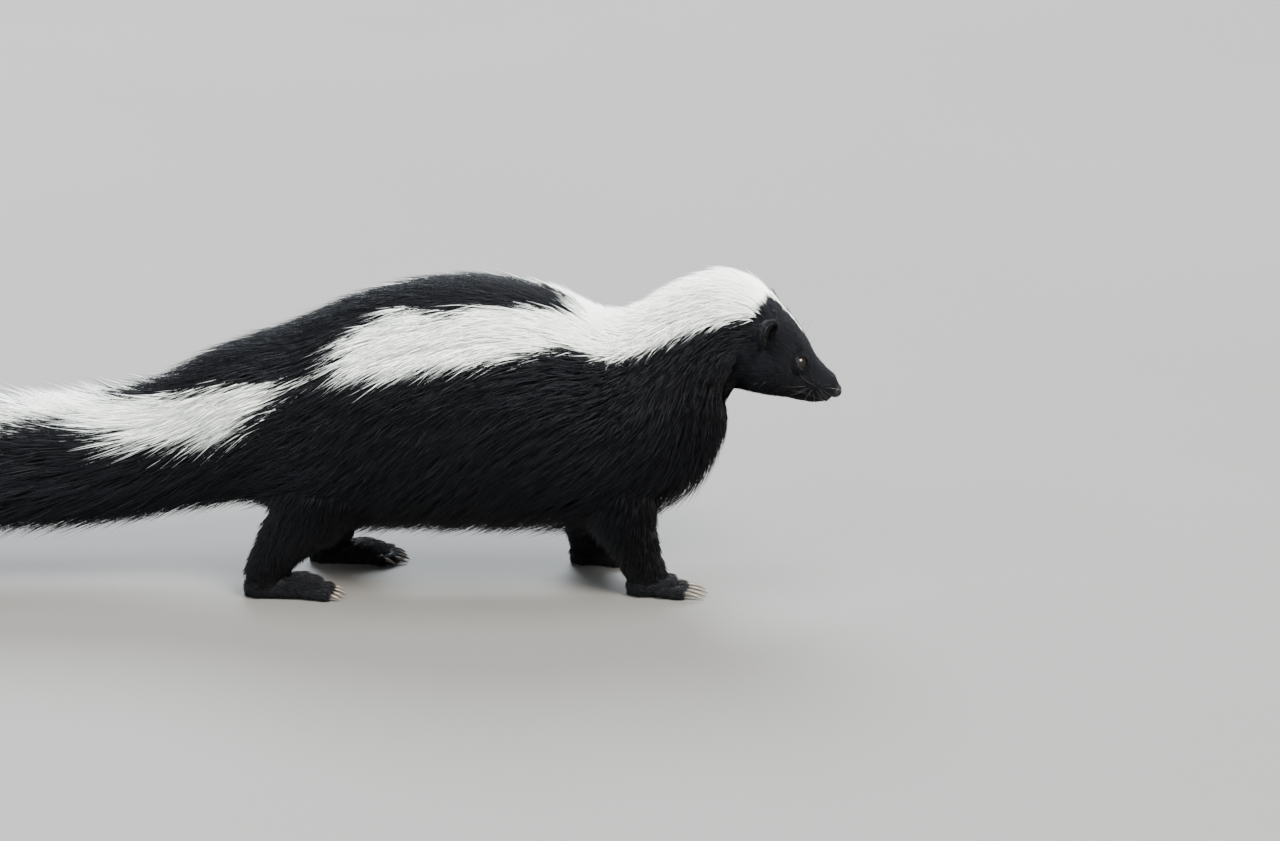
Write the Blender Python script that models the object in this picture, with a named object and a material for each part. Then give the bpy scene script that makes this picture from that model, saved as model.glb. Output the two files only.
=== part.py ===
"""Striped skunk, life size, walking with its back arched and its nose held low.

The nose points along +X, the left flank along +Y, and the soles stand on Z = 0.
Every section of tail, trunk, neck and head comes from one table, and the coat's
locks are laid on the same sections.
"""

import math
import random

import bmesh
import bpy
import numpy as np
from mathutils import Matrix, Vector

SEED = 41
GAP = 0.0003

# Sections from the tail's tip to the nose. Each row is the centre's x and z, the
# pitch of the section's axis, the skin's half width and its reach up and down,
# and the depth of the coat at the side, on top and underneath.
BODY = {
    "tail_tip": (-0.478, 0.060, 9, 0.0010, 0.0010, 0.0010, 0.005, 0.005, 0.005),
    "tail_end": (-0.447, 0.066, 9, 0.0015, 0.0015, 0.0015, 0.025, 0.026, 0.024),
    "tail_late": (-0.402, 0.073, 8, 0.0030, 0.0030, 0.0030, 0.037, 0.038, 0.035),
    "tail_far": (-0.345, 0.080, 5, 0.0055, 0.0055, 0.0055, 0.040, 0.041, 0.039),
    "tail_mid": (-0.290, 0.084, 3, 0.0080, 0.0080, 0.0080, 0.039, 0.040, 0.039),
    "tail_near": (-0.240, 0.090, 9, 0.0100, 0.0100, 0.0100, 0.036, 0.036, 0.038),
    "tail_base": (-0.200, 0.101, 17, 0.0130, 0.0130, 0.0130, 0.033, 0.031, 0.038),
    "rump_end": (-0.170, 0.111, 18, 0.0230, 0.0230, 0.0230, 0.027, 0.026, 0.034),
    "rump": (-0.146, 0.117, 12, 0.0380, 0.0350, 0.0360, 0.019, 0.017, 0.032),
    "hips": (-0.112, 0.120, 10, 0.0500, 0.0460, 0.0480, 0.016, 0.014, 0.036),
    "loin": (-0.070, 0.129, 8, 0.0530, 0.0560, 0.0540, 0.017, 0.014, 0.039),
    "back": (-0.012, 0.136, 3, 0.0550, 0.0620, 0.0600, 0.017, 0.0145, 0.041),
    "ribs": (0.040, 0.134, -3, 0.0530, 0.0580, 0.0600, 0.017, 0.014, 0.039),
    "withers": (0.080, 0.128, 5, 0.0480, 0.0500, 0.0560, 0.017, 0.014, 0.035),
    "shoulder": (0.110, 0.133, 24, 0.0430, 0.0460, 0.0510, 0.016, 0.014, 0.026),
    "neck_base": (0.130, 0.146, 32, 0.0360, 0.0400, 0.0410, 0.015, 0.014, 0.016),
    "neck_mid": (0.147, 0.160, 22, 0.0330, 0.0370, 0.0350, 0.014, 0.014, 0.013),
    "nape": (0.160, 0.168, 0, 0.0315, 0.0360, 0.0330, 0.011, 0.014, 0.010),
    "head_back": (0.173, 0.170, -22, 0.0310, 0.0330, 0.0300, 0.006, 0.010, 0.006),
    "ears": (0.184, 0.1655, -31, 0.0300, 0.0295, 0.0285, 0.004, 0.006, 0.004),
    "cheeks": (0.196, 0.158, -36, 0.0270, 0.0250, 0.0255, 0.003, 0.0035, 0.003),
    "eyes": (0.2065, 0.1505, -37, 0.0205, 0.0198, 0.0215, 0.002, 0.002, 0.002),
    "muzzle_root": (0.216, 0.1445, -36, 0.0152, 0.0148, 0.0172, 0.0015, 0.0015, 0.0015),
    "muzzle_mid": (0.2245, 0.139, -35, 0.0122, 0.0116, 0.0136, 0.001, 0.001, 0.001),
    "muzzle_tip": (0.2315, 0.135, -34, 0.0102, 0.0094, 0.0100, 0.0008, 0.0008, 0.0008),
    "muzzle_end": (0.2355, 0.1328, -34, 0.0062, 0.0060, 0.0062, 0.0005, 0.0005, 0.0005),
}
CORE_SHARE = 0.45
ROUNDNESS = 2.15

# Where the body is parted, as a row's name and a share of the way to the next.
TAIL_CORE_END = ("tail_end", 0.45)
TAIL_TORSO = ("rump_end", 0.25)
TORSO_NECK = ("shoulder", 0.55)
NECK_HEAD = ("head_back", 0.0)

# Legs: how far each foot stands ahead of its joint, and the sizes of a foot.
FORE_STRIDE = {"right": 0.016, "left": -0.022}
HIND_STRIDE = {"right": -0.018, "left": 0.022}
FORE_SIDE = 0.032
HIND_SIDE = 0.035
TOES = 5
FORE_CLAW = 0.0145
HIND_CLAW = 0.009
SOLE_CUT = 0.0018
CLAW_DROOP = 0.0016

EYE_RADIUS = 0.0051
EYE_AT = ("eyes", 0.12, 60.0)
EYE_SUNK = 0.0030
EAR_AT = ("ears", -0.15, 66.0)
EAR_SIZE = (0.0090, 0.0102)
NOSE_SIZE = (0.0046, 0.0056, 0.0047)

NAMES = list(BODY)
ROWS = np.array([BODY[name] for name in NAMES], dtype=float)


def row_distances():
    """Distance of each row's centre along the spine, from the tail's tip."""
    steps = np.linalg.norm(np.diff(ROWS[:, :2], axis=0), axis=1)
    return np.concatenate(([0.0], np.cumsum(steps)))


ALONG = row_distances()


def place(spot):
    """Distance along the spine of a row's name and a share of the way on."""
    index = NAMES.index(spot[0])
    other = min(max(index + (1 if spot[1] >= 0 else -1), 0), len(NAMES) - 1)
    return ALONG[index] + abs(spot[1]) * (ALONG[other] - ALONG[index])


def section(distance):
    """A row of the table at any distance, on a smooth curve through the rows."""
    distance = min(max(distance, 0.0), ALONG[-1])
    i = int(np.clip(np.searchsorted(ALONG, distance) - 1, 0, len(ALONG) - 2))
    h = ALONG[i + 1] - ALONG[i]
    t = (distance - ALONG[i]) / h
    slopes = []
    for k in (i, i + 1):
        low = max(k - 1, 0)
        high = min(k + 1, len(ALONG) - 1)
        slopes.append((ROWS[high] - ROWS[low]) / (ALONG[high] - ALONG[low]))
    a = 2 * t**3 - 3 * t**2 + 1
    b = t**3 - 2 * t**2 + t
    c = -2 * t**3 + 3 * t**2
    d = t**3 - t**2
    return a * ROWS[i] + b * h * slopes[0] + c * ROWS[i + 1] + d * h * slopes[1]


def body_point(distance, angle, share, grow=0.0):
    """A point of the body: angle in degrees from the top, towards +Y.

    share is 0 on the skin and 1 at the coat's tips.
    """
    x, z, pitch, wide, up, down, side, top, under = section(distance)
    wide = wide + share * side + grow
    tall = (up + share * top if abs(angle) <= 90 else down + share * under) + grow
    turn = math.radians(angle)
    s = math.sin(turn)
    c = math.cos(turn)
    power = 2.0 / ROUNDNESS
    across = math.copysign(abs(s) ** power, s) * wide
    rise = math.copysign(abs(c) ** power, c) * tall
    tilt = math.radians(pitch)
    return Vector((x - rise * math.sin(tilt), across, z + rise * math.cos(tilt)))


def core_share(level):
    """Share of the coat at a level, where 0 is the core and 1 the tips."""
    return CORE_SHARE + (1.0 - CORE_SHARE) * level


def new_object(name, mesh, collection):
    obj = bpy.data.objects.new(name, mesh)
    collection.objects.link(obj)
    return obj


def loft(name, rings, collection):
    """A closed solid through rings of points, with a fan or a point at each end."""
    bm = bmesh.new()
    loops = [[bm.verts.new(p) for p in ring] for ring in rings]
    for one, two in zip(loops, loops[1:]):
        for i in range(max(len(one), len(two))):
            a = one[i % len(one)]
            b = one[(i + 1) % len(one)]
            c = two[(i + 1) % len(two)]
            d = two[i % len(two)]
            if len(one) == 1:
                bm.faces.new((a, c, d))
            elif len(two) == 1:
                bm.faces.new((a, b, d))
            else:
                bm.faces.new((a, b, c, d))
    if len(loops[0]) > 2:
        bm.faces.new(list(reversed(loops[0])))
    if len(loops[-1]) > 2:
        bm.faces.new(loops[-1])
    bmesh.ops.triangulate(bm, faces=bm.faces[:])
    bmesh.ops.recalc_face_normals(bm, faces=bm.faces[:])
    if bm.calc_volume(signed=True) < 0:
        bmesh.ops.reverse_faces(bm, faces=bm.faces[:])
    mesh = bpy.data.meshes.new(name)
    bm.to_mesh(mesh)
    bm.free()
    return new_object(name, mesh, collection)


def body_length(name, start, end, count, sides, collection, grow=0.0):
    """The core of one length of the body, between two distances."""
    rings = []
    for distance in np.linspace(start - grow, end + grow, count):
        turns = [360.0 * i / sides - 180.0 for i in range(sides)]
        rings.append([body_point(distance, a, CORE_SHARE, grow) for a in turns])
    return loft(name, rings, collection)


def lock(name, root, angle, length, width, thick, drift, tip, twist, collection, grow=0.0):
    """One flat, tapered lock that leaves its root and bends along the coat."""
    stations = (0.0, 0.34, 0.70, 1.0)
    widths = (0.66, 1.0, 0.62)
    levels = (-0.42, 0.28, 0.74, 1.0)
    side = 1.0 if angle >= 0 else -1.0

    def spot(t, lift=0.0):
        level = np.interp(t, stations, levels) * (tip if t > 0.3 else 1.0) + lift
        turn = angle + side * drift * t**1.3
        turn = (turn + 180.0) % 360.0 - 180.0
        return body_point(root - length * t, turn, core_share(level))

    rings = []
    for t, share in zip(stations[:-1], widths):
        here = spot(t)
        ahead = (spot(t + 0.04) - spot(max(t - 0.04, 0.0))).normalized()
        out = spot(t, 0.2) - here
        out = (out - ahead * out.dot(ahead)).normalized()
        out = Matrix.Rotation(math.radians(twist * t), 3, ahead) @ out
        across = ahead.cross(out)
        half = width * share / 2 + grow
        body = thick * (1.0 - 0.55 * t) / 2 + grow
        rings.append([
            here + across * half,
            here + out * body * 1.25,
            here - across * half,
            here - out * body * 0.75,
        ])
    end = spot(1.0)
    rings.append([end + (end - spot(0.9)).normalized() * grow])
    return loft(name, rings, collection)


def coat(prefix, spec, collection, grow=0.0):
    """Rows of overlapping locks between two distances, staggered and varied."""
    draw = random.Random(SEED + spec["seed"])
    pieces = []
    distances = np.linspace(spec["from"], spec["to"], spec["rows"])
    for row, distance in enumerate(distances):
        for i in range(spec["around"]):
            base = 360.0 * (i + 0.5 * (row % 2)) / spec["around"] - 180.0
            angle = base + draw.uniform(-1, 1) * spec["spread"]
            angle = (angle + 180.0) % 360.0 - 180.0
            root = distance + draw.uniform(-0.3, 0.3) * spec["step"]
            length = spec["length"] * draw.uniform(0.84, 1.16)
            width = spec["width"] * draw.uniform(0.85, 1.12)
            drift = spec["drift"] * math.sin(math.radians(min(abs(angle), 150.0)))
            drift = drift + draw.uniform(-1, 1) * spec["stray"]
            tip = draw.uniform(0.80, 1.03)
            twist = draw.uniform(-16.0, 16.0)
            skip = spec["keep"](angle, root) if "keep" in spec else True
            if not skip:
                continue
            length = min(length, root - 0.004)
            name = f"{prefix}_{row:02d}_{i:02d}"
            pieces.append(lock(name, root, angle, length, width, spec["thick"],
                               drift, tip, twist, collection, grow))
    return pieces


TAIL_COAT = {
    "seed": 1, "from": place(TAIL_CORE_END) + 0.004, "to": place(TAIL_TORSO) - 0.012,
    "rows": 9, "around": 8, "step": 0.028, "spread": 8.0, "length": 0.092,
    "width": 0.021, "thick": 0.0052, "drift": 10.0, "stray": 9.0,
}
TORSO_COAT = {
    "seed": 2, "from": place(TAIL_TORSO) + 0.008, "to": place(TORSO_NECK) - 0.006,
    "rows": 9, "around": 9, "step": 0.030, "spread": 6.0, "length": 0.078,
    "width": 0.034, "thick": 0.0062, "drift": 16.0, "stray": 5.0,
}
NECK_COAT = {
    "seed": 3, "from": place(TORSO_NECK) + 0.008, "to": place(NECK_HEAD) - 0.006,
    "rows": 3, "around": 9, "step": 0.016, "spread": 5.0, "length": 0.046,
    "width": 0.023, "thick": 0.0052, "drift": 12.0, "stray": 5.0,
}
CROWN_COAT = {
    "seed": 4, "from": place(("head_back", 0.35)), "to": place(("cheeks", 0.1)),
    "rows": 2, "around": 13, "step": 0.010, "spread": 3.0, "length": 0.032,
    "width": 0.014, "thick": 0.0034, "drift": 6.0, "stray": 4.0,
    "keep": lambda angle, root: abs(angle) < 52.0,
}


def unite(name, pieces, collection):
    """One Boolean union of closed pieces, which are then removed."""
    first = pieces[0]
    first.name = name
    others = bpy.data.collections.new(name + "_pieces")
    bpy.context.scene.collection.children.link(others)
    for piece in pieces[1:]:
        for held in list(piece.users_collection):
            held.objects.unlink(piece)
        others.objects.link(piece)
    if pieces[1:]:
        joint = first.modifiers.new("union", "BOOLEAN")
        joint.operation = "UNION"
        joint.operand_type = "COLLECTION"
        joint.collection = others
        joint.solver = "MANIFOLD"
        apply_modifiers(first)
    for piece in list(others.objects):
        bpy.data.objects.remove(piece)
    bpy.data.collections.remove(others)
    return first


def apply_modifiers(obj):
    """Replace the mesh by what its modifiers make of it."""
    bpy.context.view_layer.update()
    graph = bpy.context.evaluated_depsgraph_get()
    mesh = bpy.data.meshes.new_from_object(obj.evaluated_get(graph))
    mesh.name = obj.name
    obj.modifiers.clear()
    obj.data = mesh


def cut(obj, cutters):
    """Take the cutters out of a piece."""
    for cutter in cutters:
        away = obj.modifiers.new("cut", "BOOLEAN")
        away.operation = "DIFFERENCE"
        away.object = cutter
        away.solver = "MANIFOLD"
        apply_modifiers(obj)


def keep_largest(obj):
    """Keep the largest closed surface of a node, and drop scraps and hollows."""
    bm = bmesh.new()
    bm.from_mesh(obj.data)
    bmesh.ops.triangulate(bm, faces=bm.faces[:])
    left = set(bm.faces)
    best = []
    largest = -1.0
    while left:
        start = left.pop()
        island = [start]
        queue = [start]
        while queue:
            face = queue.pop()
            for edge in face.edges:
                for other in edge.link_faces:
                    if other in left:
                        left.discard(other)
                        island.append(other)
                        queue.append(other)
        corners = [v.co for f in island for v in f.verts]
        low = Vector([min(c[i] for c in corners) for i in range(3)])
        high = Vector([max(c[i] for c in corners) for i in range(3)])
        size = (high - low).length
        if size > largest:
            largest = size
            best = island
    keep = set(best)
    bmesh.ops.delete(bm, geom=[f for f in bm.faces if f not in keep], context="FACES")
    bm.to_mesh(obj.data)
    bm.free()
    for face in obj.data.polygons:
        face.use_smooth = True


def ellipsoid(name, centre, axes, radii, collection, segments=10, rings=7):
    """A ball scaled along three directions given as columns."""
    bm = bmesh.new()
    bmesh.ops.create_uvsphere(bm, u_segments=segments, v_segments=rings, radius=1.0)
    turn = Matrix([axes[0], axes[1], axes[2]]).transposed()
    for v in bm.verts:
        local = Vector((v.co.x * radii[0], v.co.y * radii[1], v.co.z * radii[2]))
        v.co = turn @ local + centre
    bmesh.ops.triangulate(bm, faces=bm.faces[:])
    if bm.calc_volume(signed=True) < 0:
        bmesh.ops.reverse_faces(bm, faces=bm.faces[:])
    mesh = bpy.data.meshes.new(name)
    bm.to_mesh(mesh)
    bm.free()
    return new_object(name, mesh, collection)


def surface_frame(distance, angle, share=CORE_SHARE):
    """Point, forward, around and outward directions on the body's surface."""
    here = body_point(distance, angle, share)
    forward = (body_point(distance + 0.002, angle, share) - here).normalized()
    around = (body_point(distance, angle + 2.0, share) - here).normalized()
    outward = around.cross(forward).normalized()
    if outward.dot(here - body_point(distance, angle, -1.0)) < 0:
        outward = -outward
    around = outward.cross(forward).normalized()
    return here, forward, around, outward


def eye_centre(side):
    name, share, angle = EYE_AT
    here, _, _, outward = surface_frame(place((name, share)), side * angle)
    return here - outward * EYE_SUNK, outward


def head_axes(distance):
    """Forward and upward directions of the head at a distance."""
    pitch = math.radians(section(distance)[2])
    forward = Vector((math.cos(pitch), 0.0, math.sin(pitch)))
    upward = Vector((-math.sin(pitch), 0.0, math.cos(pitch)))
    return forward, upward


def lid_opening(side, collection):
    """The almond-shaped way through the lids."""
    centre, outward = eye_centre(side)
    forward, _ = head_axes(place(EYE_AT[:2]))
    forward = (forward - outward * forward.dot(outward)).normalized()
    upward = outward.cross(forward) * side
    if upward.z < 0:
        upward = -upward
    rings = []
    for depth, size in ((0.0012, 0.55), (0.0120, 1.85)):
        ring = []
        for i in range(10):
            turn = 2 * math.pi * i / 10
            along = math.cos(turn) * 0.0040 * size
            rise = math.sin(turn) * abs(math.sin(turn)) ** 0.15 * 0.0029 * size
            ring.append(centre + outward * depth + forward * along + upward * rise)
        rings.append(ring)
    return loft("lid_opening", rings, collection)


MOUTH = ((0.05, 116.0, 0), (0.5, 113.0, 0), (0.0, 112.0, 1), (0.5, 114.0, 1),
         (0.0, 120.0, 2), (0.45, 128.0, 2))


def mouth_path():
    """Points and outward directions of the mouth's line, corner to corner."""
    rows = ("muzzle_root", "muzzle_mid", "muzzle_tip")
    marks = [(place((rows[row], share)), angle) for share, angle, row in MOUTH]
    marks.insert(0, (place(("eyes", 0.55)), 120.0))
    one = [surface_frame(d, a) for d, a in marks]
    middle = surface_frame(place(("muzzle_tip", 0.62)), 179.0)
    two = [surface_frame(d, -a) for d, a in reversed(marks)]
    return one + [middle] + two


def mouth_strip(name, half, inward, outwards, shift, collection, sides=4):
    """A strip laid along the mouth's line, for the line itself or for a lip."""
    path = mouth_path()
    rings = []
    for i, (here, _, _, outward) in enumerate(path):
        before = path[max(i - 1, 0)][0]
        after = path[min(i + 1, len(path) - 1)][0]
        ahead = (after - before).normalized()
        out = (outward - ahead * outward.dot(ahead)).normalized()
        rise = ahead.cross(out)
        if rise.z < 0:
            rise = -rise
        fade = 0.45 if i in (0, len(path) - 1) else 1.0
        mid = here + rise * shift + out * (outwards - inward) / 2
        deep = (outwards + inward) / 2 * fade
        ring = []
        for k in range(sides):
            turn = 2 * math.pi * (k + 0.5) / sides
            ring.append(mid + out * math.cos(turn) * deep * 1.2 + rise * math.sin(turn) * half * fade * 1.2)
        rings.append(ring)
    return loft(name, rings, collection)


def nose_axes():
    distance = place(("muzzle_end", 0.0))
    x, z = section(distance)[:2]
    forward, upward = head_axes(distance)
    return Vector((x, 0.0, z)) + forward * 0.0002 + upward * 0.0012, forward, upward


def nose(name, collection, grow=0.0):
    centre, forward, upward = nose_axes()
    across = Vector((0.0, 1.0, 0.0))
    radii = [size + grow for size in NOSE_SIZE]
    return ellipsoid(name, centre, (forward, across, upward), radii, collection)


def nostrils(collection):
    centre, forward, upward = nose_axes()
    cutters = []
    for side in (1.0, -1.0):
        across = Vector((0.0, side, 0.0))
        middle = centre + forward * 0.0034 + across * 0.0030 - upward * 0.0002
        along = (forward + across * 0.7).normalized()
        rise = (upward - across * 0.35).normalized()
        third = along.cross(rise).normalized()
        cutters.append(ellipsoid("nostril", middle, (along, rise, third),
                                 (0.0024, 0.0013, 0.0010), collection, 7, 5))
    return cutters


def ear(name, side, collection):
    """A small round ear with a cup that opens outwards and forwards."""
    here, forward, around, outward = surface_frame(place(EAR_AT[:2]), side * EAR_AT[2])
    up = Vector((0.0, 0.0, 1.0))
    stand = (outward * 0.75 + up * 0.55 - forward * 0.30).normalized()
    face = (forward * 0.75 + outward * 0.50)
    face = (face - stand * face.dot(stand)).normalized()
    across = stand.cross(face).normalized()
    middle = here + stand * 0.0048
    profile = ((0.0, -0.0040), (0.55, -0.0036), (0.88, -0.0020), (1.0, 0.0004),
               (0.93, 0.0013), (0.80, 0.0002), (0.50, -0.0016), (0.0, -0.0020))
    rings = []
    for reach, depth in profile:
        if reach == 0.0:
            rings.append([middle + face * depth])
            continue
        ring = []
        for i in range(12):
            turn = 2 * math.pi * i / 12
            wide = math.cos(turn) * EAR_SIZE[0] * reach
            tall = math.sin(turn) * EAR_SIZE[1] * reach
            wrap = 30.0 * wide * wide
            ring.append(middle + across * wide + stand * tall + face * (depth + wrap))
        rings.append(ring)
    return loft(name, rings, collection)


def tube(name, marks, collection, sides=8, grow=0.0):
    """A limb through marks of x, y, z, pitch, half width, half depth."""
    rings = []
    last = len(marks) - 1
    for n, (x, y, z, pitch, wide, deep) in enumerate(marks):
        tilt = math.radians(pitch)
        axis = Vector((math.cos(tilt), 0.0, math.sin(tilt)))
        rise = Vector((-math.sin(tilt), 0.0, math.cos(tilt)))
        centre = Vector((x, y, z))
        if n == 0:
            centre = centre - axis * grow
        if n == last:
            centre = centre + axis * grow
        ring = []
        for i in range(sides):
            turn = 2 * math.pi * (i + 0.5) / sides
            across = Vector((0.0, math.cos(turn) * (wide + grow), 0.0))
            ring.append(centre + across + rise * math.sin(turn) * (deep + grow))
        rings.append(ring)
    return loft(name, rings, collection)


def fore_marks(side):
    y = FORE_SIDE if side == "left" else -FORE_SIDE
    f = FORE_STRIDE[side]
    limb = [
        (0.094, y * 0.62, 0.108, -95, 0.0100, 0.0220),
        (0.090 + 0.25 * f, y * 0.80, 0.082, -95, 0.0125, 0.0210),
        (0.088 + 0.55 * f, y * 0.96, 0.056, -88, 0.0130, 0.0165),
        (0.091 + 0.85 * f, y, 0.033, -82, 0.0112, 0.0125),
        (0.095 + f, y, 0.016, -75, 0.0108, 0.0118),
        (0.097 + f, y, 0.006, -75, 0.0095, 0.0105),
    ]
    x = 0.097 + f
    paw = [
        (x - 0.014, y, 0.0075, 0, 0.0055, 0.0050),
        (x - 0.008, y, 0.0085, 0, 0.0105, 0.0085),
        (x + 0.003, y, 0.0092, -4, 0.0120, 0.0090),
        (x + 0.012, y, 0.0078, -8, 0.0110, 0.0072),
        (x + 0.016, y, 0.0066, -8, 0.0078, 0.0052),
    ]
    return limb, paw


def hind_marks(side):
    y = HIND_SIDE if side == "left" else -HIND_SIDE
    f = HIND_STRIDE[side]
    limb = [
        (-0.104, y * 0.70, 0.108, -80, 0.0130, 0.0300),
        (-0.096 + 0.3 * f, y * 0.86, 0.084, -95, 0.0160, 0.0280),
        (-0.100 + 0.6 * f, y * 0.98, 0.060, -112, 0.0150, 0.0210),
        (-0.114 + 0.85 * f, y, 0.038, -118, 0.0120, 0.0140),
        (-0.123 + f, y, 0.020, -100, 0.0105, 0.0115),
        (-0.124 + f, y, 0.008, -80, 0.0100, 0.0105),
    ]
    x = -0.124 + f
    paw = [
        (x - 0.013, y, 0.0080, 0, 0.0055, 0.0050),
        (x - 0.007, y, 0.0085, 0, 0.0098, 0.0088),
        (x + 0.010, y, 0.0082, 0, 0.0112, 0.0082),
        (x + 0.023, y, 0.0082, -2, 0.0124, 0.0080),
        (x + 0.032, y, 0.0074, -6, 0.0112, 0.0068),
        (x + 0.036, y, 0.0064, -8, 0.0080, 0.0050),
    ]
    return limb, paw


def toe_frames(kind, side):
    """Root, end and direction of each toe of a foot, inner toe first."""
    limb, paw = (fore_marks if kind == "fore" else hind_marks)(side)
    x, y, z = paw[-1][:3]
    inner = -1.0 if side == "left" else 1.0
    frames = []
    for n in range(TOES):
        share = n / (TOES - 1) * 2.0 - 1.0
        fan = -share * inner
        turn = math.radians(9.0) * fan
        ahead = Vector((math.cos(turn), math.sin(turn), -0.10)).normalized()
        start = Vector((x - 0.011, y + fan * 0.0100, z + 0.0004))
        reach = 0.0205 - 0.0028 * abs(share) - (0.0060 if n == 0 else 0.0)
        frames.append((start, start + ahead * reach, ahead))
    return frames


def toe(name, start, end, ahead, collection):
    across = ahead.cross(Vector((0.0, 0.0, 1.0))).normalized()
    rise = across.cross(ahead).normalized()
    rings = []
    for t, size in ((0.0, 0.0024), (0.4, 0.0034), (0.82, 0.0033), (1.0, 0.0023)):
        centre = start.lerp(end, t)
        ring = []
        for i in range(6):
            turn = 2 * math.pi * (i + 0.5) / 6
            ring.append(centre + across * math.cos(turn) * size
                        + rise * math.sin(turn) * size * 1.05)
        rings.append(ring)
    return loft(name, rings, collection)


def claw(name, end, ahead, length, collection):
    """A curved claw that starts clear of its toe's flat end."""
    across = ahead.cross(Vector((0.0, 0.0, 1.0))).normalized()
    rise = across.cross(ahead).normalized()
    rings = []
    start = end + ahead * GAP
    for t, size in ((0.0, 0.0017), (0.4, 0.0014), (0.8, 0.0008)):
        centre = start + ahead * length * t - rise * CLAW_DROOP * t * t
        ring = []
        for i in range(5):
            turn = 2 * math.pi * i / 5
            lean = ahead * (-0.35 * t * math.sin(turn) * size)
            ring.append(centre + across * math.cos(turn) * size * 0.7
                        + rise * math.sin(turn) * size + lean)
        rings.append(ring)
    rings.append([start + ahead * length - rise * CLAW_DROOP])
    return loft(name, rings, collection)


def floor_block(collection):
    """A block whose top levels the soles."""
    bm = bmesh.new()
    bmesh.ops.create_cube(bm, size=1.0)
    mesh = bpy.data.meshes.new("floor_block")
    bm.to_mesh(mesh)
    bm.free()
    obj = new_object("floor_block", mesh, collection)
    for v in obj.data.vertices:
        v.co = Vector((v.co.x * 2, v.co.y, v.co.z * 0.1 - 0.05 + SOLE_CUT))
    return obj


def leg(kind, side, parts, cutters, clears, floor):
    limb, paw = (fore_marks if kind == "fore" else hind_marks)(side)
    name = f"leg_{kind}_{side}"
    pieces = [tube(name, limb, parts), tube(name + "_paw", paw, parts)]
    for n, (start, end, ahead) in enumerate(toe_frames(kind, side)):
        pieces.append(toe(f"{name}_toe_{n}", start, end, ahead, parts))
        length = FORE_CLAW if kind == "fore" else HIND_CLAW
        claw(f"claw_{kind}_{side}_{n + 1}", end, ahead, length, parts)
    obj = unite(name, pieces, parts)
    cut(obj, clears + [floor])
    keep_largest(obj)
    return tube(name + "_clear", limb, cutters, grow=GAP)


def material(name, colour, rough):
    made = bpy.data.materials.new(name)
    made.use_nodes = True
    shader = made.node_tree.nodes["Principled BSDF"]
    shader.inputs["Base Color"].default_value = (*colour, 1.0)
    shader.inputs["Roughness"].default_value = rough
    return made


COLOURS = {
    "torso": ((0.030, 0.028, 0.030), 0.7),
    "neck": ((0.80, 0.78, 0.70), 0.7),
    "head": ((0.026, 0.025, 0.027), 0.7),
    "tail": ((0.034, 0.032, 0.034), 0.7),
    "nose": ((0.012, 0.011, 0.012), 0.35),
    "ear": ((0.030, 0.027, 0.028), 0.75),
    "eye": ((0.004, 0.003, 0.003), 0.08),
    "leg": ((0.028, 0.026, 0.028), 0.7),
    "claw": ((0.22, 0.19, 0.15), 0.4),
}


def clear_scene():
    for obj in list(bpy.data.objects):
        bpy.data.objects.remove(obj)
    for group in list(bpy.data.collections):
        bpy.data.collections.remove(group)


def make_collections():
    parts = bpy.data.collections.new("striped_skunk")
    cutters = bpy.data.collections.new("cutters")
    for group in (parts, cutters):
        bpy.context.scene.collection.children.link(group)
    return parts, cutters


def trunk_lengths(parts, cutters):
    """Tail, torso and neck cores with their coats, each clear of the next."""
    tail_end = place(TAIL_CORE_END)
    hip = place(TAIL_TORSO)
    chest = place(TORSO_NECK)
    nape = place(NECK_HEAD)
    clears = [body_length("torso_core", hip, chest, 11, 18, cutters, GAP),
              body_length("neck_core", chest + GAP, nape - GAP, 6, 18, cutters, GAP)]
    floor = floor_block(cutters)
    legs = [leg(kind, side, parts, cutters, clears, floor)
            for kind in ("fore", "hind") for side in ("right", "left")]

    ruff = unite("neck_locks", coat("neck", NECK_COAT, parts), parts)
    cut(ruff, legs)
    neck = unite("neck", [body_length("neck", chest + GAP, nape - GAP, 6, 18, parts), ruff], parts)
    neck_clear = unite("neck_clear", [body_length("n", chest + GAP, nape - GAP, 6, 18, cutters, GAP)]
                       + coat("nc", NECK_COAT, cutters, GAP), cutters)

    locks = unite("torso_locks", coat("torso", TORSO_COAT, parts), parts)
    cut(locks, legs)
    torso = unite("torso", [body_length("torso", hip, chest, 11, 18, parts), locks], parts)
    cut(torso, [neck_clear])
    keep_largest(torso)
    torso_clear = unite("torso_clear", [body_length("t", hip, chest, 11, 18, cutters, GAP)]
                        + coat("tc", TORSO_COAT, cutters, GAP), cutters)
    tail = unite("tail", [body_length("tail", tail_end, hip - GAP, 9, 12, parts)]
                 + coat("tail", TAIL_COAT, parts), parts)
    cut(tail, [torso_clear])
    keep_largest(tail)
    return neck


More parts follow.
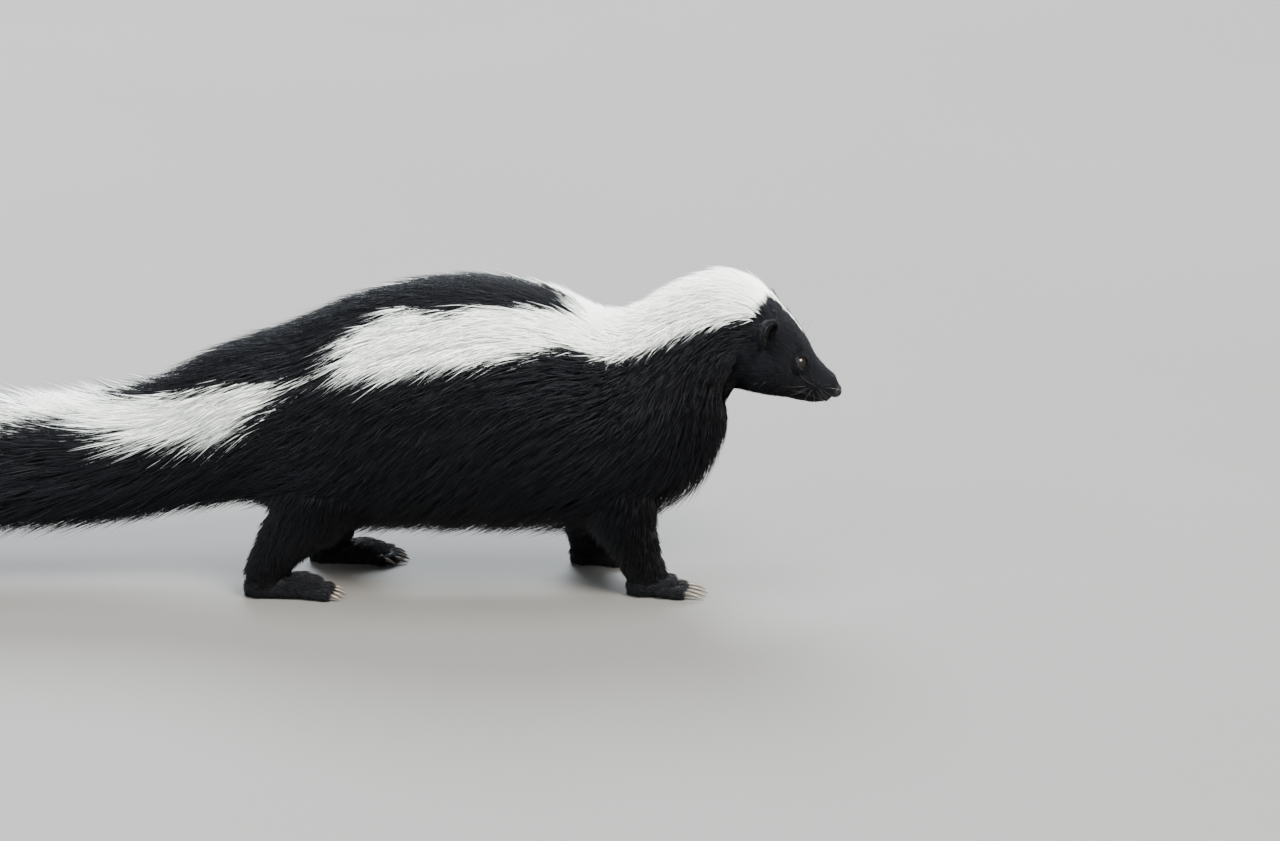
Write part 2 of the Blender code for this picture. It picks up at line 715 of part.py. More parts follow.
def head_pieces(parts, cutters, neck):
    """Head with lids, mouth line and lips, and its ears, eyes and nose."""
    back = place(NECK_HEAD)
    front = place(("muzzle_end", 0.0))
    pieces = [body_length("head", back, front, 14, 18, parts)]
    pieces += coat("crown", CROWN_COAT, parts)
    for side in (1.0, -1.0):
        centre, outward = eye_centre(side)
        forward, _ = head_axes(place(EYE_AT[:2]))
        forward = (forward - outward * forward.dot(outward)).normalized()
        third = outward.cross(forward)
        pieces.append(ellipsoid("lids", centre, (outward, forward, third),
                                (EYE_RADIUS + 0.0011, 0.0078, 0.0066), parts))
    pieces.append(mouth_strip("lip_upper", 0.0011, 0.0010, 0.0006, 0.0012, parts, 5))
    pieces.append(mouth_strip("lip_lower", 0.0010, 0.0010, 0.0004, -0.0013, parts, 5))
    head = unite("head", pieces, parts)
    cutting = [nose("nose_clear", cutters, GAP)]
    cutting.append(mouth_strip("mouth_line", 0.00035, 0.0018, 0.0012, 0.0, cutters))
    for side in (1.0, -1.0):
        centre, outward = eye_centre(side)
        axes = (Vector((1, 0, 0)), Vector((0, 1, 0)), Vector((0, 0, 1)))
        cutting.append(ellipsoid("socket", centre, axes, (EYE_RADIUS + GAP,) * 3, cutters, 12, 8))
        cutting.append(lid_opening(side, cutters))
        label = "left" if side > 0 else "right"
        ball = ellipsoid(f"eye_{label}", centre, axes, (EYE_RADIUS,) * 3, parts, 12, 8)
        keep_largest(ball)
    cut(head, cutting)
    keep_largest(head)
    head_clear = unite("head_clear", [body_length("h", back, front, 14, 18, cutters, GAP)]
                       + coat("hc", CROWN_COAT, cutters, GAP), cutters)
    cut(neck, [head_clear])
    keep_largest(neck)
    for side in (1.0, -1.0):
        label = "left" if side > 0 else "right"
        shell = ear(f"ear_{label}", side, parts)
        cut(shell, [head_clear])
        keep_largest(shell)
    pad = nose("nose", parts)
    cut(pad, nostrils(cutters))
    keep_largest(pad)


def finish(parts, cutters):
    """Materials, one parent, and the origin under the middle of the box."""
    for obj in list(cutters.objects):
        obj.hide_render = True
        obj.display_type = "WIRE"
    kinds = {}
    low = Vector((1e9, 1e9, 1e9))
    high = -low
    for obj in parts.objects:
        kind = obj.name.split("_")[0]
        colour, rough = COLOURS[kind]
        obj.data.materials.clear()
        obj.data.materials.append(material(obj.name + "_finish", colour, rough))
        for v in obj.data.vertices:
            low = Vector(map(min, low, v.co))
            high = Vector(map(max, high, v.co))
        kinds[kind] = kinds.get(kind, 0) + 1
    origin = bpy.data.objects.new("skunk_origin", None)
    parts.objects.link(origin)
    origin.location = Vector((-(low.x + high.x) / 2, -(low.y + high.y) / 2, -low.z))
    for obj in parts.objects:
        if obj is not origin:
            obj.parent = origin


def main():
    clear_scene()
    parts, cutters = make_collections()
    neck = trunk_lengths(parts, cutters)
    head_pieces(parts, cutters, neck)
    finish(parts, cutters)


main()
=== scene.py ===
"""Striped skunk: the looks of a life-size still model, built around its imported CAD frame."""

import itertools
import math

import bmesh
import bpy
import numpy as np
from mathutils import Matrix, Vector
from mathutils.kdtree import KDTree


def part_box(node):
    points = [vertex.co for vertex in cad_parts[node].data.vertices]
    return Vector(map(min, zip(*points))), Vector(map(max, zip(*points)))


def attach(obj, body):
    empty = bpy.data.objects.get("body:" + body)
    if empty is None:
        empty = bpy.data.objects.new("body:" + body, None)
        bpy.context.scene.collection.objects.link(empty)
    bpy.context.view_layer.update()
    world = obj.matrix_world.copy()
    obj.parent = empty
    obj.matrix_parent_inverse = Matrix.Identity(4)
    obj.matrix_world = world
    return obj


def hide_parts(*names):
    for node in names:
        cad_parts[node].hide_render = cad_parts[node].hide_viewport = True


bl_info = {
    "name": "Striped skunk",
    "version": (1, 0, 0),
    "blender": (4, 5, 0),
    "location": "3D View > Sidebar > Skunk",
    "description": "Skin, coat, eyes, nose, claws, whiskers and studio of a striped skunk",
    "category": "Add Mesh",
}

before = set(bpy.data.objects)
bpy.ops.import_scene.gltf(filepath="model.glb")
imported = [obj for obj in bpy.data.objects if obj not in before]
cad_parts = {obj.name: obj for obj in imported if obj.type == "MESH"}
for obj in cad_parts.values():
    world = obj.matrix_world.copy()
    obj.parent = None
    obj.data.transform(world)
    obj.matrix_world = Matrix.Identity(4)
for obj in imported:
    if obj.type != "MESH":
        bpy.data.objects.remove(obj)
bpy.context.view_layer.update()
ROOT = "root"
# The power of the body's oval sections, and the share of the coat's depth at which
# eyes and ears are placed.
ROUNDNESS = 2.15
CORE_SHARE = 0.45
TINY = 1e-12

# Sections of the body, from the tail's tip to the nose: centre x and z, pitch in
# degrees, the skin's half width, height above and below the centre, and the
# coat's depth at the side, on top and below. Metres, as in the CAD source.
BODY = {
    "tail_tip": (-0.478, 0.060, 9, 0.0010, 0.0010, 0.0010, 0.005, 0.005, 0.005),
    "tail_end": (-0.447, 0.066, 9, 0.0015, 0.0015, 0.0015, 0.025, 0.026, 0.024),
    "tail_late": (-0.402, 0.073, 8, 0.0030, 0.0030, 0.0030, 0.037, 0.038, 0.035),
    "tail_far": (-0.345, 0.080, 5, 0.0055, 0.0055, 0.0055, 0.040, 0.041, 0.039),
    "tail_mid": (-0.290, 0.084, 3, 0.0080, 0.0080, 0.0080, 0.039, 0.040, 0.039),
    "tail_near": (-0.240, 0.090, 9, 0.0100, 0.0100, 0.0100, 0.036, 0.036, 0.038),
    "tail_base": (-0.200, 0.101, 17, 0.0130, 0.0130, 0.0130, 0.033, 0.031, 0.038),
    "rump_end": (-0.170, 0.111, 18, 0.0230, 0.0230, 0.0230, 0.027, 0.026, 0.034),
    "rump": (-0.146, 0.117, 12, 0.0380, 0.0350, 0.0360, 0.019, 0.017, 0.032),
    "hips": (-0.112, 0.120, 10, 0.0500, 0.0460, 0.0480, 0.016, 0.014, 0.036),
    "loin": (-0.070, 0.129, 8, 0.0530, 0.0560, 0.0540, 0.017, 0.014, 0.039),
    "back": (-0.012, 0.136, 3, 0.0550, 0.0620, 0.0600, 0.017, 0.0145, 0.041),
    "ribs": (0.040, 0.134, -3, 0.0530, 0.0580, 0.0600, 0.017, 0.014, 0.039),
    "withers": (0.080, 0.128, 5, 0.0480, 0.0500, 0.0560, 0.017, 0.014, 0.035),
    "shoulder": (0.110, 0.133, 24, 0.0430, 0.0460, 0.0510, 0.016, 0.014, 0.026),
    "neck_base": (0.130, 0.146, 32, 0.0360, 0.0400, 0.0410, 0.015, 0.014, 0.016),
    "neck_mid": (0.147, 0.160, 22, 0.0330, 0.0370, 0.0350, 0.014, 0.014, 0.013),
    "nape": (0.160, 0.168, 0, 0.0315, 0.0360, 0.0330, 0.011, 0.014, 0.010),
    "head_back": (0.173, 0.170, -22, 0.0310, 0.0330, 0.0300, 0.006, 0.010, 0.006),
    "ears": (0.184, 0.1655, -31, 0.0300, 0.0295, 0.0285, 0.004, 0.006, 0.004),
    "cheeks": (0.196, 0.158, -36, 0.0270, 0.0250, 0.0255, 0.003, 0.0035, 0.003),
    "eyes": (0.2065, 0.1505, -37, 0.0205, 0.0198, 0.0215, 0.002, 0.002, 0.002),
    "muzzle_root": (0.216, 0.1445, -36, 0.0152, 0.0148, 0.0172, 0.0015, 0.0015, 0.0015),
    "muzzle_mid": (0.2245, 0.139, -35, 0.0122, 0.0116, 0.0136, 0.001, 0.001, 0.001),
    "muzzle_tip": (0.2315, 0.135, -34, 0.0102, 0.0094, 0.0100, 0.0008, 0.0008, 0.0008),
    "muzzle_end": (0.2355, 0.1328, -34, 0.0062, 0.0060, 0.0062, 0.0005, 0.0005, 0.0005),
}

# How far ahead of the middle of its stride each foot is set.
FORE_STRIDE = {"right": 0.016, "left": -0.022}
HIND_STRIDE = {"right": -0.018, "left": 0.022}
FORE_SIDE = 0.032
HIND_SIDE = 0.035
# The level of the soles in the table's frame.
SOLE_CUT = 0.0018
CLAW_LENGTH = {"fore": 0.0145, "hind": 0.009}
CLAW_DROOP = 0.0016
CLAW_ROOT = 0.0012
FUR_OVER_FLOOR = 0.0003
# Where eyes and ears are: a section, the share on from it and the angle from the top.
EYE_AT = ("eyes", 0.12, 60.0)
EAR_AT = ("ears", -0.15, 66.0)
EYE_RADIUS = 0.0051
EYE_SUNK = 0.0030
EYE_GAP = 0.00015
EAR_SIZE = (0.0090, 0.0102)
EAR_CURL = 30.0
NOSE_SIZE = (0.0047, 0.0059, 0.0049)
MUZZLE_SIZE = (0.0056, 0.0048, 0.0064)
MUZZLE_BACK = 0.0018
# Stations round the mouth, then a voxel of the legs' mesh.
MOUTH_STEPS = 84
LEG_VOXEL = 0.00105
# How wide a toe is at shares of its length.
KNUCKLES = ((0.0, 0.0026), (0.25, 0.0031), (0.45, 0.0028), (0.7, 0.0034), (0.9, 0.0031), (1.0, 0.0020))
# Where the throat is filled and how long and wide that is in metres and degrees,
# then how far the fill moves the skin.
THROAT_AT = (0.6725, 0.0105, 45)
THROAT_FILL = (0.0036, 0.0, -0.0072)
# Where the short fur of the head and of the face starts along the spine.
HEAD_FUR = 0.664
FACE_FUR = 0.704

# The white coat's edges, in degrees from the top on either side, along the spine.
BODY_STRIPE = (
    (0.4000, 46, 50), (0.4090, 34, 57), (0.4160, 30, 61), (0.4280, 27, 66),
    (0.4350, 24, 68), (0.4430, 20, 67), (0.4516, 24, 66), (0.4681, 31, 64),
    (0.4838, 28, 62), (0.4913, 27, 61), (0.5095, 26, 59), (0.5268, 24, 54),
    (0.5492, 18, 44), (0.5555, 6, 45), (0.5610, -14, 47), (0.5930, -14, 48),
    (0.6186, -14, 51), (0.6344, -14, 56), (0.6476, -14, 60), (0.6583, -14, 63),
    (0.6616, -14, 58), (0.6650, -14, 54), (0.6683, -14, 46), (0.6716, -14, 30),
    (0.6738, -14, 8), (0.6760, -14, 3.5), (0.7000, -14, 3.0), (0.7040, 0, 0),
)
TAIL_STRIPE = (
    (-0.02, 8, 96), (0.015, 20, 84), (0.05, 33, 66), (0.10, 34, 62), (0.14, 28, 57), (0.160, 18, 50),
    (0.1786, 0, 39), (0.1977, -10, 32), (0.2084, -12, 31), (0.2274, -10, 35),
    (0.2398, -6, 48), (0.2547, 6, 68), (0.2622, 10, 72), (0.2812, 22, 77),
    (0.3027, 34, 82), (0.3151, 37, 86), (0.3283, 41, 90), (0.3383, 47, 79),
    (0.3530, 46, 61), (0.3680, 47, 54), (0.3850, 49, 52), (0.4080, 49, 51),
)
# How white the coat is inside those edges, from 0 to 1, along the spine.
WHITE_DENSITY = ((0.0, 0.55), (0.05, 0.46), (0.14, 0.58), (0.20, 0.85), (0.25, 1.0),
                 (0.350, 1.0), (0.364, 0.40), (0.398, 0.30), (0.408, 1.0), (0.674, 1.0),
                 (0.679, 0.75), (0.704, 0.6))
# The share of a tuft's run back and lean down at which its colour is seen.
SEEN_AT = 0.55
# How far a tuft runs back along the spine from its root.
TUFT_RUN = ((0.0, 0.030), (0.0316, 0.050), (0.0771, 0.070), (0.1345, 0.082), (0.24, 0.080),
            (0.3132, 0.066), (0.372, 0.054), (0.45, 0.048), (0.55, 0.044), (0.60, 0.034),
            (0.64, 0.025), (0.66, 0.017), (0.675, 0.0115), (0.69, 0.008), (0.71, 0.0055),
            (0.722, 0.0040), (0.735, 0.0028), (0.7435, 0.0020))
# Each layer of the long coat: the share of that run, the least and most share of
# the coat's depth at its tips, its points along a tuft, how far each is risen
# there, and the tuft's width at those between root and tip.
COAT_LAYERS = (
    (1.00, 0.82, 1.03, (0.0, 0.30, 0.66, 1.0), (-0.04, 0.46, 0.86, 1.0), (1.0, 0.78)),
    (0.86, 0.66, 0.96, (0.0, 0.44, 1.0), (-0.04, 0.68, 1.0), (1.0,)),
    (0.64, 0.42, 0.74, (0.0, 0.44, 1.0), (-0.04, 0.68, 1.0), (1.0,)),
)
# Along the spine: how ragged the markings' edges are in metres, how many degrees a
# tuft leans down the flank, how far tufts lean together into locks, how far their
# tips stray in metres, and how wide they are, as a share of the tuft width.
EDGE_RAGGED = ((0.0, 0.010), (0.30, 0.009), (0.40, 0.005), (0.55, 0.0028), (0.66, 0.0016), (0.70, 0.0005))
TUFT_LEAN = ((0.0, 4.0), (0.25, 6.0), (0.35, 15.0), (0.60, 12.0), (0.68, 4.0), (0.74, 0.0))
TUFT_PULL = ((0.0, 1.0), (0.3, 0.9), (0.6, 0.8), (0.67, 0.5))
TUFT_STRAY = ((0.0, 0.0040), (0.05, 0.0062), (0.10, 0.0058), (0.3, 0.0024), (0.66, 0.0008))
TUFT_WIDE = ((0.0, 1.10), (0.3, 1.0), (0.60, 0.75), (0.67, 0.55))
CLUMP_SIZE = 0.017
CLUMP_SEED = 7
# The far stripe's edge over the shoulders: its place, half length and rise in degrees.
FAR_EDGE = (0.535, 0.022, 10.0)
# The ruff where the jaw meets the throat: its place and half length along the spine.
RUFF = (0.668, 0.017)
# The head's short fur along the spine: how dense it is, how far its tips stand up as
# a share of its length, and how wide a tuft is.
HEAD_DENSE = ((0.66, 0.8), (0.69, 1.0), (0.71, 1.5), (0.735, 2.4))
HEAD_STAND = ((0.66, 0.42), (0.68, 0.32), (0.70, 0.22), (0.74, 0.14))
HEAD_WIDE = ((0.66, 0.00066), (0.69, 0.00046), (0.72, 0.00031), (0.74, 0.00025))
# The ears' fur: its length, stand and width.
EAR_FUR = (0.0036, 0.26, 0.00038)
# The legs' fur by height: how dense, long, steep and wide it is, how much it lies down
# the leg rather than forward, and how much of that is backward.
LEG_DENSE = ((0.004, 1.9), (0.02, 1.2), (0.09, 0.8))
LEG_LONG = ((0.004, 0.0036), (0.012, 0.0056), (0.03, 0.011), (0.07, 0.020), (0.10, 0.026))
LEG_STAND = ((0.004, 0.16), (0.03, 0.22), (0.09, 0.30))
LEG_WIDE = ((0.004, 0.0004), (0.02, 0.0006), (0.09, 0.0011))
LEG_DOWN = ((0.002, 0.55), (0.006, 0.30), (0.010, 0.15), (0.024, 1.0))
LEG_BACK = ((0.02, 0.0), (0.06, 0.45))
# Swells of cheeks, brows and muzzle and the dip of the bridge: a section and the share
# on from it, half the length, the angle from the top, half the width, and the height.
FACE_SWELLS = (
    ("cheeks", 0.0, 0.010, 118, 24, 0.0018), ("eyes", -0.3, 0.006, 38, 16, 0.0010),
    ("muzzle_mid", 0.1, 0.007, 92, 24, 0.0011), ("muzzle_root", 0.0, 0.008, 0, 26, -0.0007),
)
# Rows of whiskers on the muzzle: the angle from the top and the count of each.
WHISKER_ROWS = ((78, 4), (88, 5), (98, 5), (107, 4))
# Single whiskers of brows and cheeks: section, share on from it, angle and size.
LONE_WHISKERS = (("eyes", -0.1, 36, 0.62), ("eyes", -0.35, 40, 0.5),
                 ("cheeks", 0.2, 112, 0.6), ("cheeks", 0.0, 118, 0.5))
# The size of a tuft's patch on the unwrap, and the bare margin round the unwrap.
PATCH = 0.003
MARGIN = 0.01
LEGS = (("fore", "left"), ("fore", "right"), ("hind", "left"), ("hind", "right"))

ROWS = np.array(list(BODY.values()), dtype=float)
NAMES = list(BODY)
ALONG = np.concatenate(([0.0], np.cumsum(np.linalg.norm(np.diff(ROWS[:, :2], axis=0), axis=1))))


def unit(vectors):
    """Vectors of length one, along the last axis of an array."""
    return vectors / (np.linalg.norm(vectors, axis=-1, keepdims=True) + TINY)


def from_top(angle):
    """An angle in degrees from the top, from -180 to 180."""
    return (angle + 180.0) % 360.0 - 180.0


def read(table, at):
    """Values from a table of places and values, between its rows."""
    return np.interp(at, *np.array(table, float).T)


def hill(value, middle, width):
    """1 where a value is at the middle, and less and less away from it."""
    return np.exp(-((value - middle) / width) ** 2)


def place(name, share=0.0):
    """Distance along the spine of a named section, and a share of the way on."""
    index = NAMES.index(name)
    other = min(max(index + (1 if share >= 0 else -1), 0), len(NAMES) - 1)
    return ALONG[index] + abs(share) * (ALONG[other] - ALONG[index])


def smooth_rows(count):
    """The table of sections at even distances, on a smooth curve through its rows."""
    far = np.linspace(0.0, ALONG[-1], count)
    i = np.clip(np.searchsorted(ALONG, far) - 1, 0, len(ALONG) - 2)
    slopes = np.array([
        (ROWS[min(k + 1, len(ROWS) - 1)] - ROWS[max(k - 1, 0)])
        / (ALONG[min(k + 1, len(ROWS) - 1)] - ALONG[max(k - 1, 0)])
        for k in range(len(ROWS))
    ])
    h = ALONG[i + 1] - ALONG[i]
    t = ((far - ALONG[i]) / h)[:, None]
    h = h[:, None]
    rows = ((2 * t**3 - 3 * t**2 + 1) * ROWS[i] + (t**3 - 2 * t**2 + t) * h * slopes[i]
            + (3 * t**2 - 2 * t**3) * ROWS[i + 1] + (t**3 - t**2) * h * slopes[i + 1])
    return far, rows


FAR, SECTIONS = smooth_rows(3001)


def body_points(distance, angle, share):
    """Points of the body. Angle is in degrees from the top towards +Y, and share
    is 0 on the skin and 1 at the coat's tips."""
    distance, angle, share = np.broadcast_arrays(
        np.asarray(distance, float), np.asarray(angle, float), np.asarray(share, float))
    angle = from_top(angle)
    x, z, pitch, wide, up, down, side, top, under = (
        np.interp(distance, FAR, SECTIONS[:, k]) for k in range(9))
    tilt = np.radians(pitch)
    past = distance - np.clip(distance, 0.0, ALONG[-1])
    s, c = np.sin(np.radians(angle)), np.cos(np.radians(angle))
    power = 2.0 / ROUNDNESS
    tall = np.where(np.abs(angle) <= 90, up + share * top, down + share * under)
    across = np.sign(s) * np.abs(s) ** power * (wide + share * side)
    rise = np.sign(c) * np.abs(c) ** power * tall
    return np.stack([x + past * np.cos(tilt) - rise * np.sin(tilt), across,
                     z + past * np.sin(tilt) + rise * np.cos(tilt)], axis=-1)


def surface_frame(distance, angle, share=CORE_SHARE):
    """A point of the body with its forward and outward directions."""
    here, front, rear, turned = (Vector(p) for p in body_points(
        [distance, distance + 0.001, distance - 0.001, distance],
        [angle, angle, angle, angle + 1.0], share))
    forward = (front - rear).normalized()
    outward = forward.cross((turned - here).normalized()).normalized()
    x, z = (np.interp(distance, FAR, SECTIONS[:, k]) for k in (0, 1))
    if outward.dot(here - Vector((x, 0.0, z))) < 0:
        outward.negate()
    return here, forward, outward


def eye_spot(side):
    """Centre, forward, upward and outward of an eye. side is 1 on the left."""
    here, forward, outward = surface_frame(place(*EYE_AT[:2]), side * EYE_AT[2])
    upward = outward.cross(forward) * -side
    if upward.z < 0:
        upward.negate()
    return here - outward * EYE_SUNK, forward, upward.normalized(), outward


def cad_shift():
    """What moves a point of the table into the CAD's frame, read from the eyes."""
    made, packed = Vector(), Vector()
    for side, name in ((1, "eye_left"), (-1, "eye_right")):
        low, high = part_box(name)
        packed += (low + high) / 4
        made += eye_spot(side)[0] / 2
    return packed - made


SHIFT = cad_shift()


# Mesh helpers

def mesh_of(name, points, faces):
    """A mesh object from arrays of points in the table's frame and of triangles."""
    points = np.asarray(points, np.float32) + np.array(SHIFT, np.float32)
    faces = np.asarray(faces, np.int32)
    mesh = bpy.data.meshes.new(name)
    mesh.vertices.add(len(points))
    mesh.vertices.foreach_set("co", points.ravel())
    mesh.loops.add(faces.size)
    mesh.loops.foreach_set("vertex_index", faces.ravel())
    mesh.polygons.add(len(faces))
    mesh.polygons.foreach_set("loop_start", np.arange(0, faces.size, 3, dtype=np.int32))
    mesh.update(calc_edges=True)
    mesh.polygons.foreach_set("use_smooth", np.ones(len(faces), bool))
    obj = bpy.data.objects.new(name, mesh)
    bpy.context.scene.collection.objects.link(obj)
    return obj


def give(obj, name, values):
    """A number for each point of a mesh, which its material reads by name."""
    made = obj.data.attributes.new(name, "FLOAT", "POINT")
    made.data.foreach_set("value", np.asarray(values, np.float32))


def points_of(obj):
    """A mesh's points in the table's frame."""
    found = np.empty(len(obj.data.vertices) * 3, np.float32)
    obj.data.vertices.foreach_get("co", found)
    return found.reshape(-1, 3).astype(float) - np.array(SHIFT)


def move_points(obj, points):
    """Puts a mesh's points at new places in the table's frame."""
    obj.data.vertices.foreach_set("co", (points + np.array(SHIFT)).astype(np.float32).ravel())
    obj.data.update()


def ring_faces(rows, sides):
    """Triangles between rings of points, with the last side joined to the first."""
    side = np.arange(sides)
    first = np.arange(rows - 1)[:, None] * sides
    a, b = (first + side).ravel(), (first + (side + 1) % sides).ravel()
    return np.concatenate([np.stack([a, b, b + sides], 1), np.stack([a, b + sides, a + sides], 1)])


def closed_faces(rows, sides):
    """Triangles between rings of points and to the two end points that follow them."""
    side = np.arange(sides)
    after = (side + 1) % sides
    last = (rows - 1) * sides
    return np.concatenate([
        ring_faces(rows, sides), np.stack([after, side, np.full(sides, rows * sides)], 1),
        np.stack([side + last, after + last, np.full(sides, rows * sides + 1)], 1)])


def loft(name, rings, around=False):
    """A closed solid through rings with one count of points. around joins the last
    ring to the first; otherwise each end is closed by a point in its middle."""
    rings = np.asarray(rings, float)
    rows, sides = rings.shape[:2]
    points = rings.reshape(-1, 3)
    if around:
        faces = ring_faces(rows + 1, sides) % (rows * sides)
    else:
        points = np.concatenate([points, rings[0].mean(0)[None], rings[-1].mean(0)[None]])
        faces = closed_faces(rows, sides)
    obj = mesh_of(name, points, faces)
    face_out(obj)
    return obj


def face_out(obj):
    """Turns a closed mesh's faces outwards."""
    bm = bmesh.new()
    bm.from_mesh(obj.data)
    bmesh.ops.recalc_face_normals(bm, faces=bm.faces[:])
    if bm.calc_volume(signed=True) < 0:
        bmesh.ops.reverse_faces(bm, faces=bm.faces[:])
    bm.to_mesh(obj.data)
    bm.free()


def settle(obj):
    """Turns an object's modifiers into its own plain mesh."""
    graph = bpy.context.evaluated_depsgraph_get()
    made = bpy.data.meshes.new_from_object(obj.evaluated_get(graph))
    old = obj.data
    obj.modifiers.clear()
    obj.data = made
    bpy.data.meshes.remove(old)
    made.name = obj.name


def fuse(obj, others, operation="UNION"):
    """Joins closed meshes to an object, or cuts them out of it, and removes them."""
    group = bpy.data.collections.new("fusing")
    for other in others:
        group.objects.link(other)
    step = obj.modifiers.new("fuse", "BOOLEAN")
    step.operand_type = "COLLECTION"
    step.collection = group
    step.operation = operation
    step.solver = "MANIFOLD"
    settle(obj)
    for other in others:
        bpy.data.objects.remove(other)
    bpy.data.collections.remove(group)


def remeshed(obj, size, rounds):
    """Makes a mesh even by voxels and then smooths it."""
    step = obj.modifiers.new("even", "REMESH")
    step.mode = "VOXEL"
    step.voxel_size = size
    step.use_smooth_shade = True
    step = obj.modifiers.new("soft", "SMOOTH")
    step.factor = 0.5
    step.iterations = rounds
    settle(obj)


def scatter_noise(points, size, seed):
    """Smooth noise from -1 to 1 at points, with its bumps about size apart."""
    grid = np.asarray(points, float) / size + 1000.0 + seed * 17.31
    base = np.floor(grid).astype(np.int64)
    f = grid - base
    f = f * f * (3 - 2 * f)
    total = 0.0
    for i in (0, 1):
        for j in (0, 1):
            for k in (0, 1):
                h = ((base[..., 0] + i) * 73856093 ^ (base[..., 1] + j) * 19349663
                     ^ (base[..., 2] + k) * 83492791 ^ seed * 2654435761)
                h = (h ^ (h >> 13)) * 1274126177 & 0x7FFFFFFF
                h = (h ^ (h >> 15)) * 2246822519 & 0x7FFFFFFF
                share = ((f[..., 0] if i else 1 - f[..., 0]) * (f[..., 1] if j else 1 - f[..., 1])
                         * (f[..., 2] if k else 1 - f[..., 2]))
                total = total + share * (h / 0x7FFFFFFF * 2 - 1)
    return total


# Markings

def stripe_edge(rows, distance, angle):
    """Metres inside a stripe's edge at places of the body, negative outside it."""
    table = np.array(rows, float)
    upper = np.interp(distance, table[:, 0], table[:, 1], left=0, right=0)
    lower = np.interp(distance, table[:, 0], table[:, 2], left=0, right=0)
    thick = np.interp(distance, FAR, SECTIONS[:, 3] + SECTIONS[:, 6]) * math.pi / 180
    inside = np.minimum(angle - upper, lower - angle) * thick
    ends = np.minimum(distance - table[0, 0], table[-1, 0] - distance)
    return np.minimum(inside, np.maximum(ends, -0.01))


def white_share(distance, angle, points):
    """How white the coat is that is rooted at places of the body, from 0 to 1."""
    seen = distance - read(TUFT_RUN, distance) * SEEN_AT
    side = from_top(angle + tuft_drift(distance, angle) * SEEN_AT)
    side = np.abs(side) + np.where(side > 0, hill(seen, *FAR_EDGE[:2]) * FAR_EDGE[2], 0.0)
    edge = np.maximum(stripe_edge(BODY_STRIPE, seen, side), stripe_edge(TAIL_STRIPE, seen, side))
    ragged = read(EDGE_RAGGED, seen)
    edge = edge + ragged * (scatter_noise(points * (0.35, 1, 1), 0.012, 3) * 0.7
                            + scatter_noise(points * (0.4, 1, 1), 0.004, 4) * 0.45)
    soft = ragged * 0.35
    mask = np.clip(0.5 + edge / (2 * soft), 0, 1)
    return mask * read(WHITE_DENSITY, seen)


def tuft_drift(distance, angle):
    """How many degrees a tuft leans down the flank between its root and its tip."""
    turned = from_top(angle)
    slant = np.sin(np.radians(np.minimum(np.abs(turned), 150.0)))
    return np.sign(turned) * read(TUFT_LEAN, distance) * slant


def throat(distance, angle):
    """How much longer the fur hangs where the jaw meets the throat."""
    low = np.clip((np.abs(from_top(angle)) - 105.0) / 40.0, 0, 1)
    return hill(distance, *RUFF) * low


# Materials

class Sum:
    """Wraps a number's socket, so that reckoning with it adds Math nodes."""

    def __init__(self, paint, socket):
        self.paint = paint
        self.socket = socket

    def math(self, operation, *terms, clamp=False):
        return self.paint.number("Math", {"operation": operation, "use_clamp": clamp},
                                 dict(enumerate(terms)))

    def __add__(self, other):
        return self.math("ADD", self, other)

    def __sub__(self, other):
        return self.math("SUBTRACT", self, other)

    def __mul__(self, other):
        return self.math("MULTIPLY", self, other)

    def __radd__(self, other):
        return self.math("ADD", other, self)

    def __rsub__(self, other):
        return self.math("SUBTRACT", other, self)

    def __rmul__(self, other):
        return self.math("MULTIPLY", other, self)

    def above(self, edge, soft):
        """0 below an edge and 1 above it, over a soft width."""
        return self.math("MULTIPLY_ADD", self, 1.0 / soft, 0.5 - edge / soft, clamp=True)


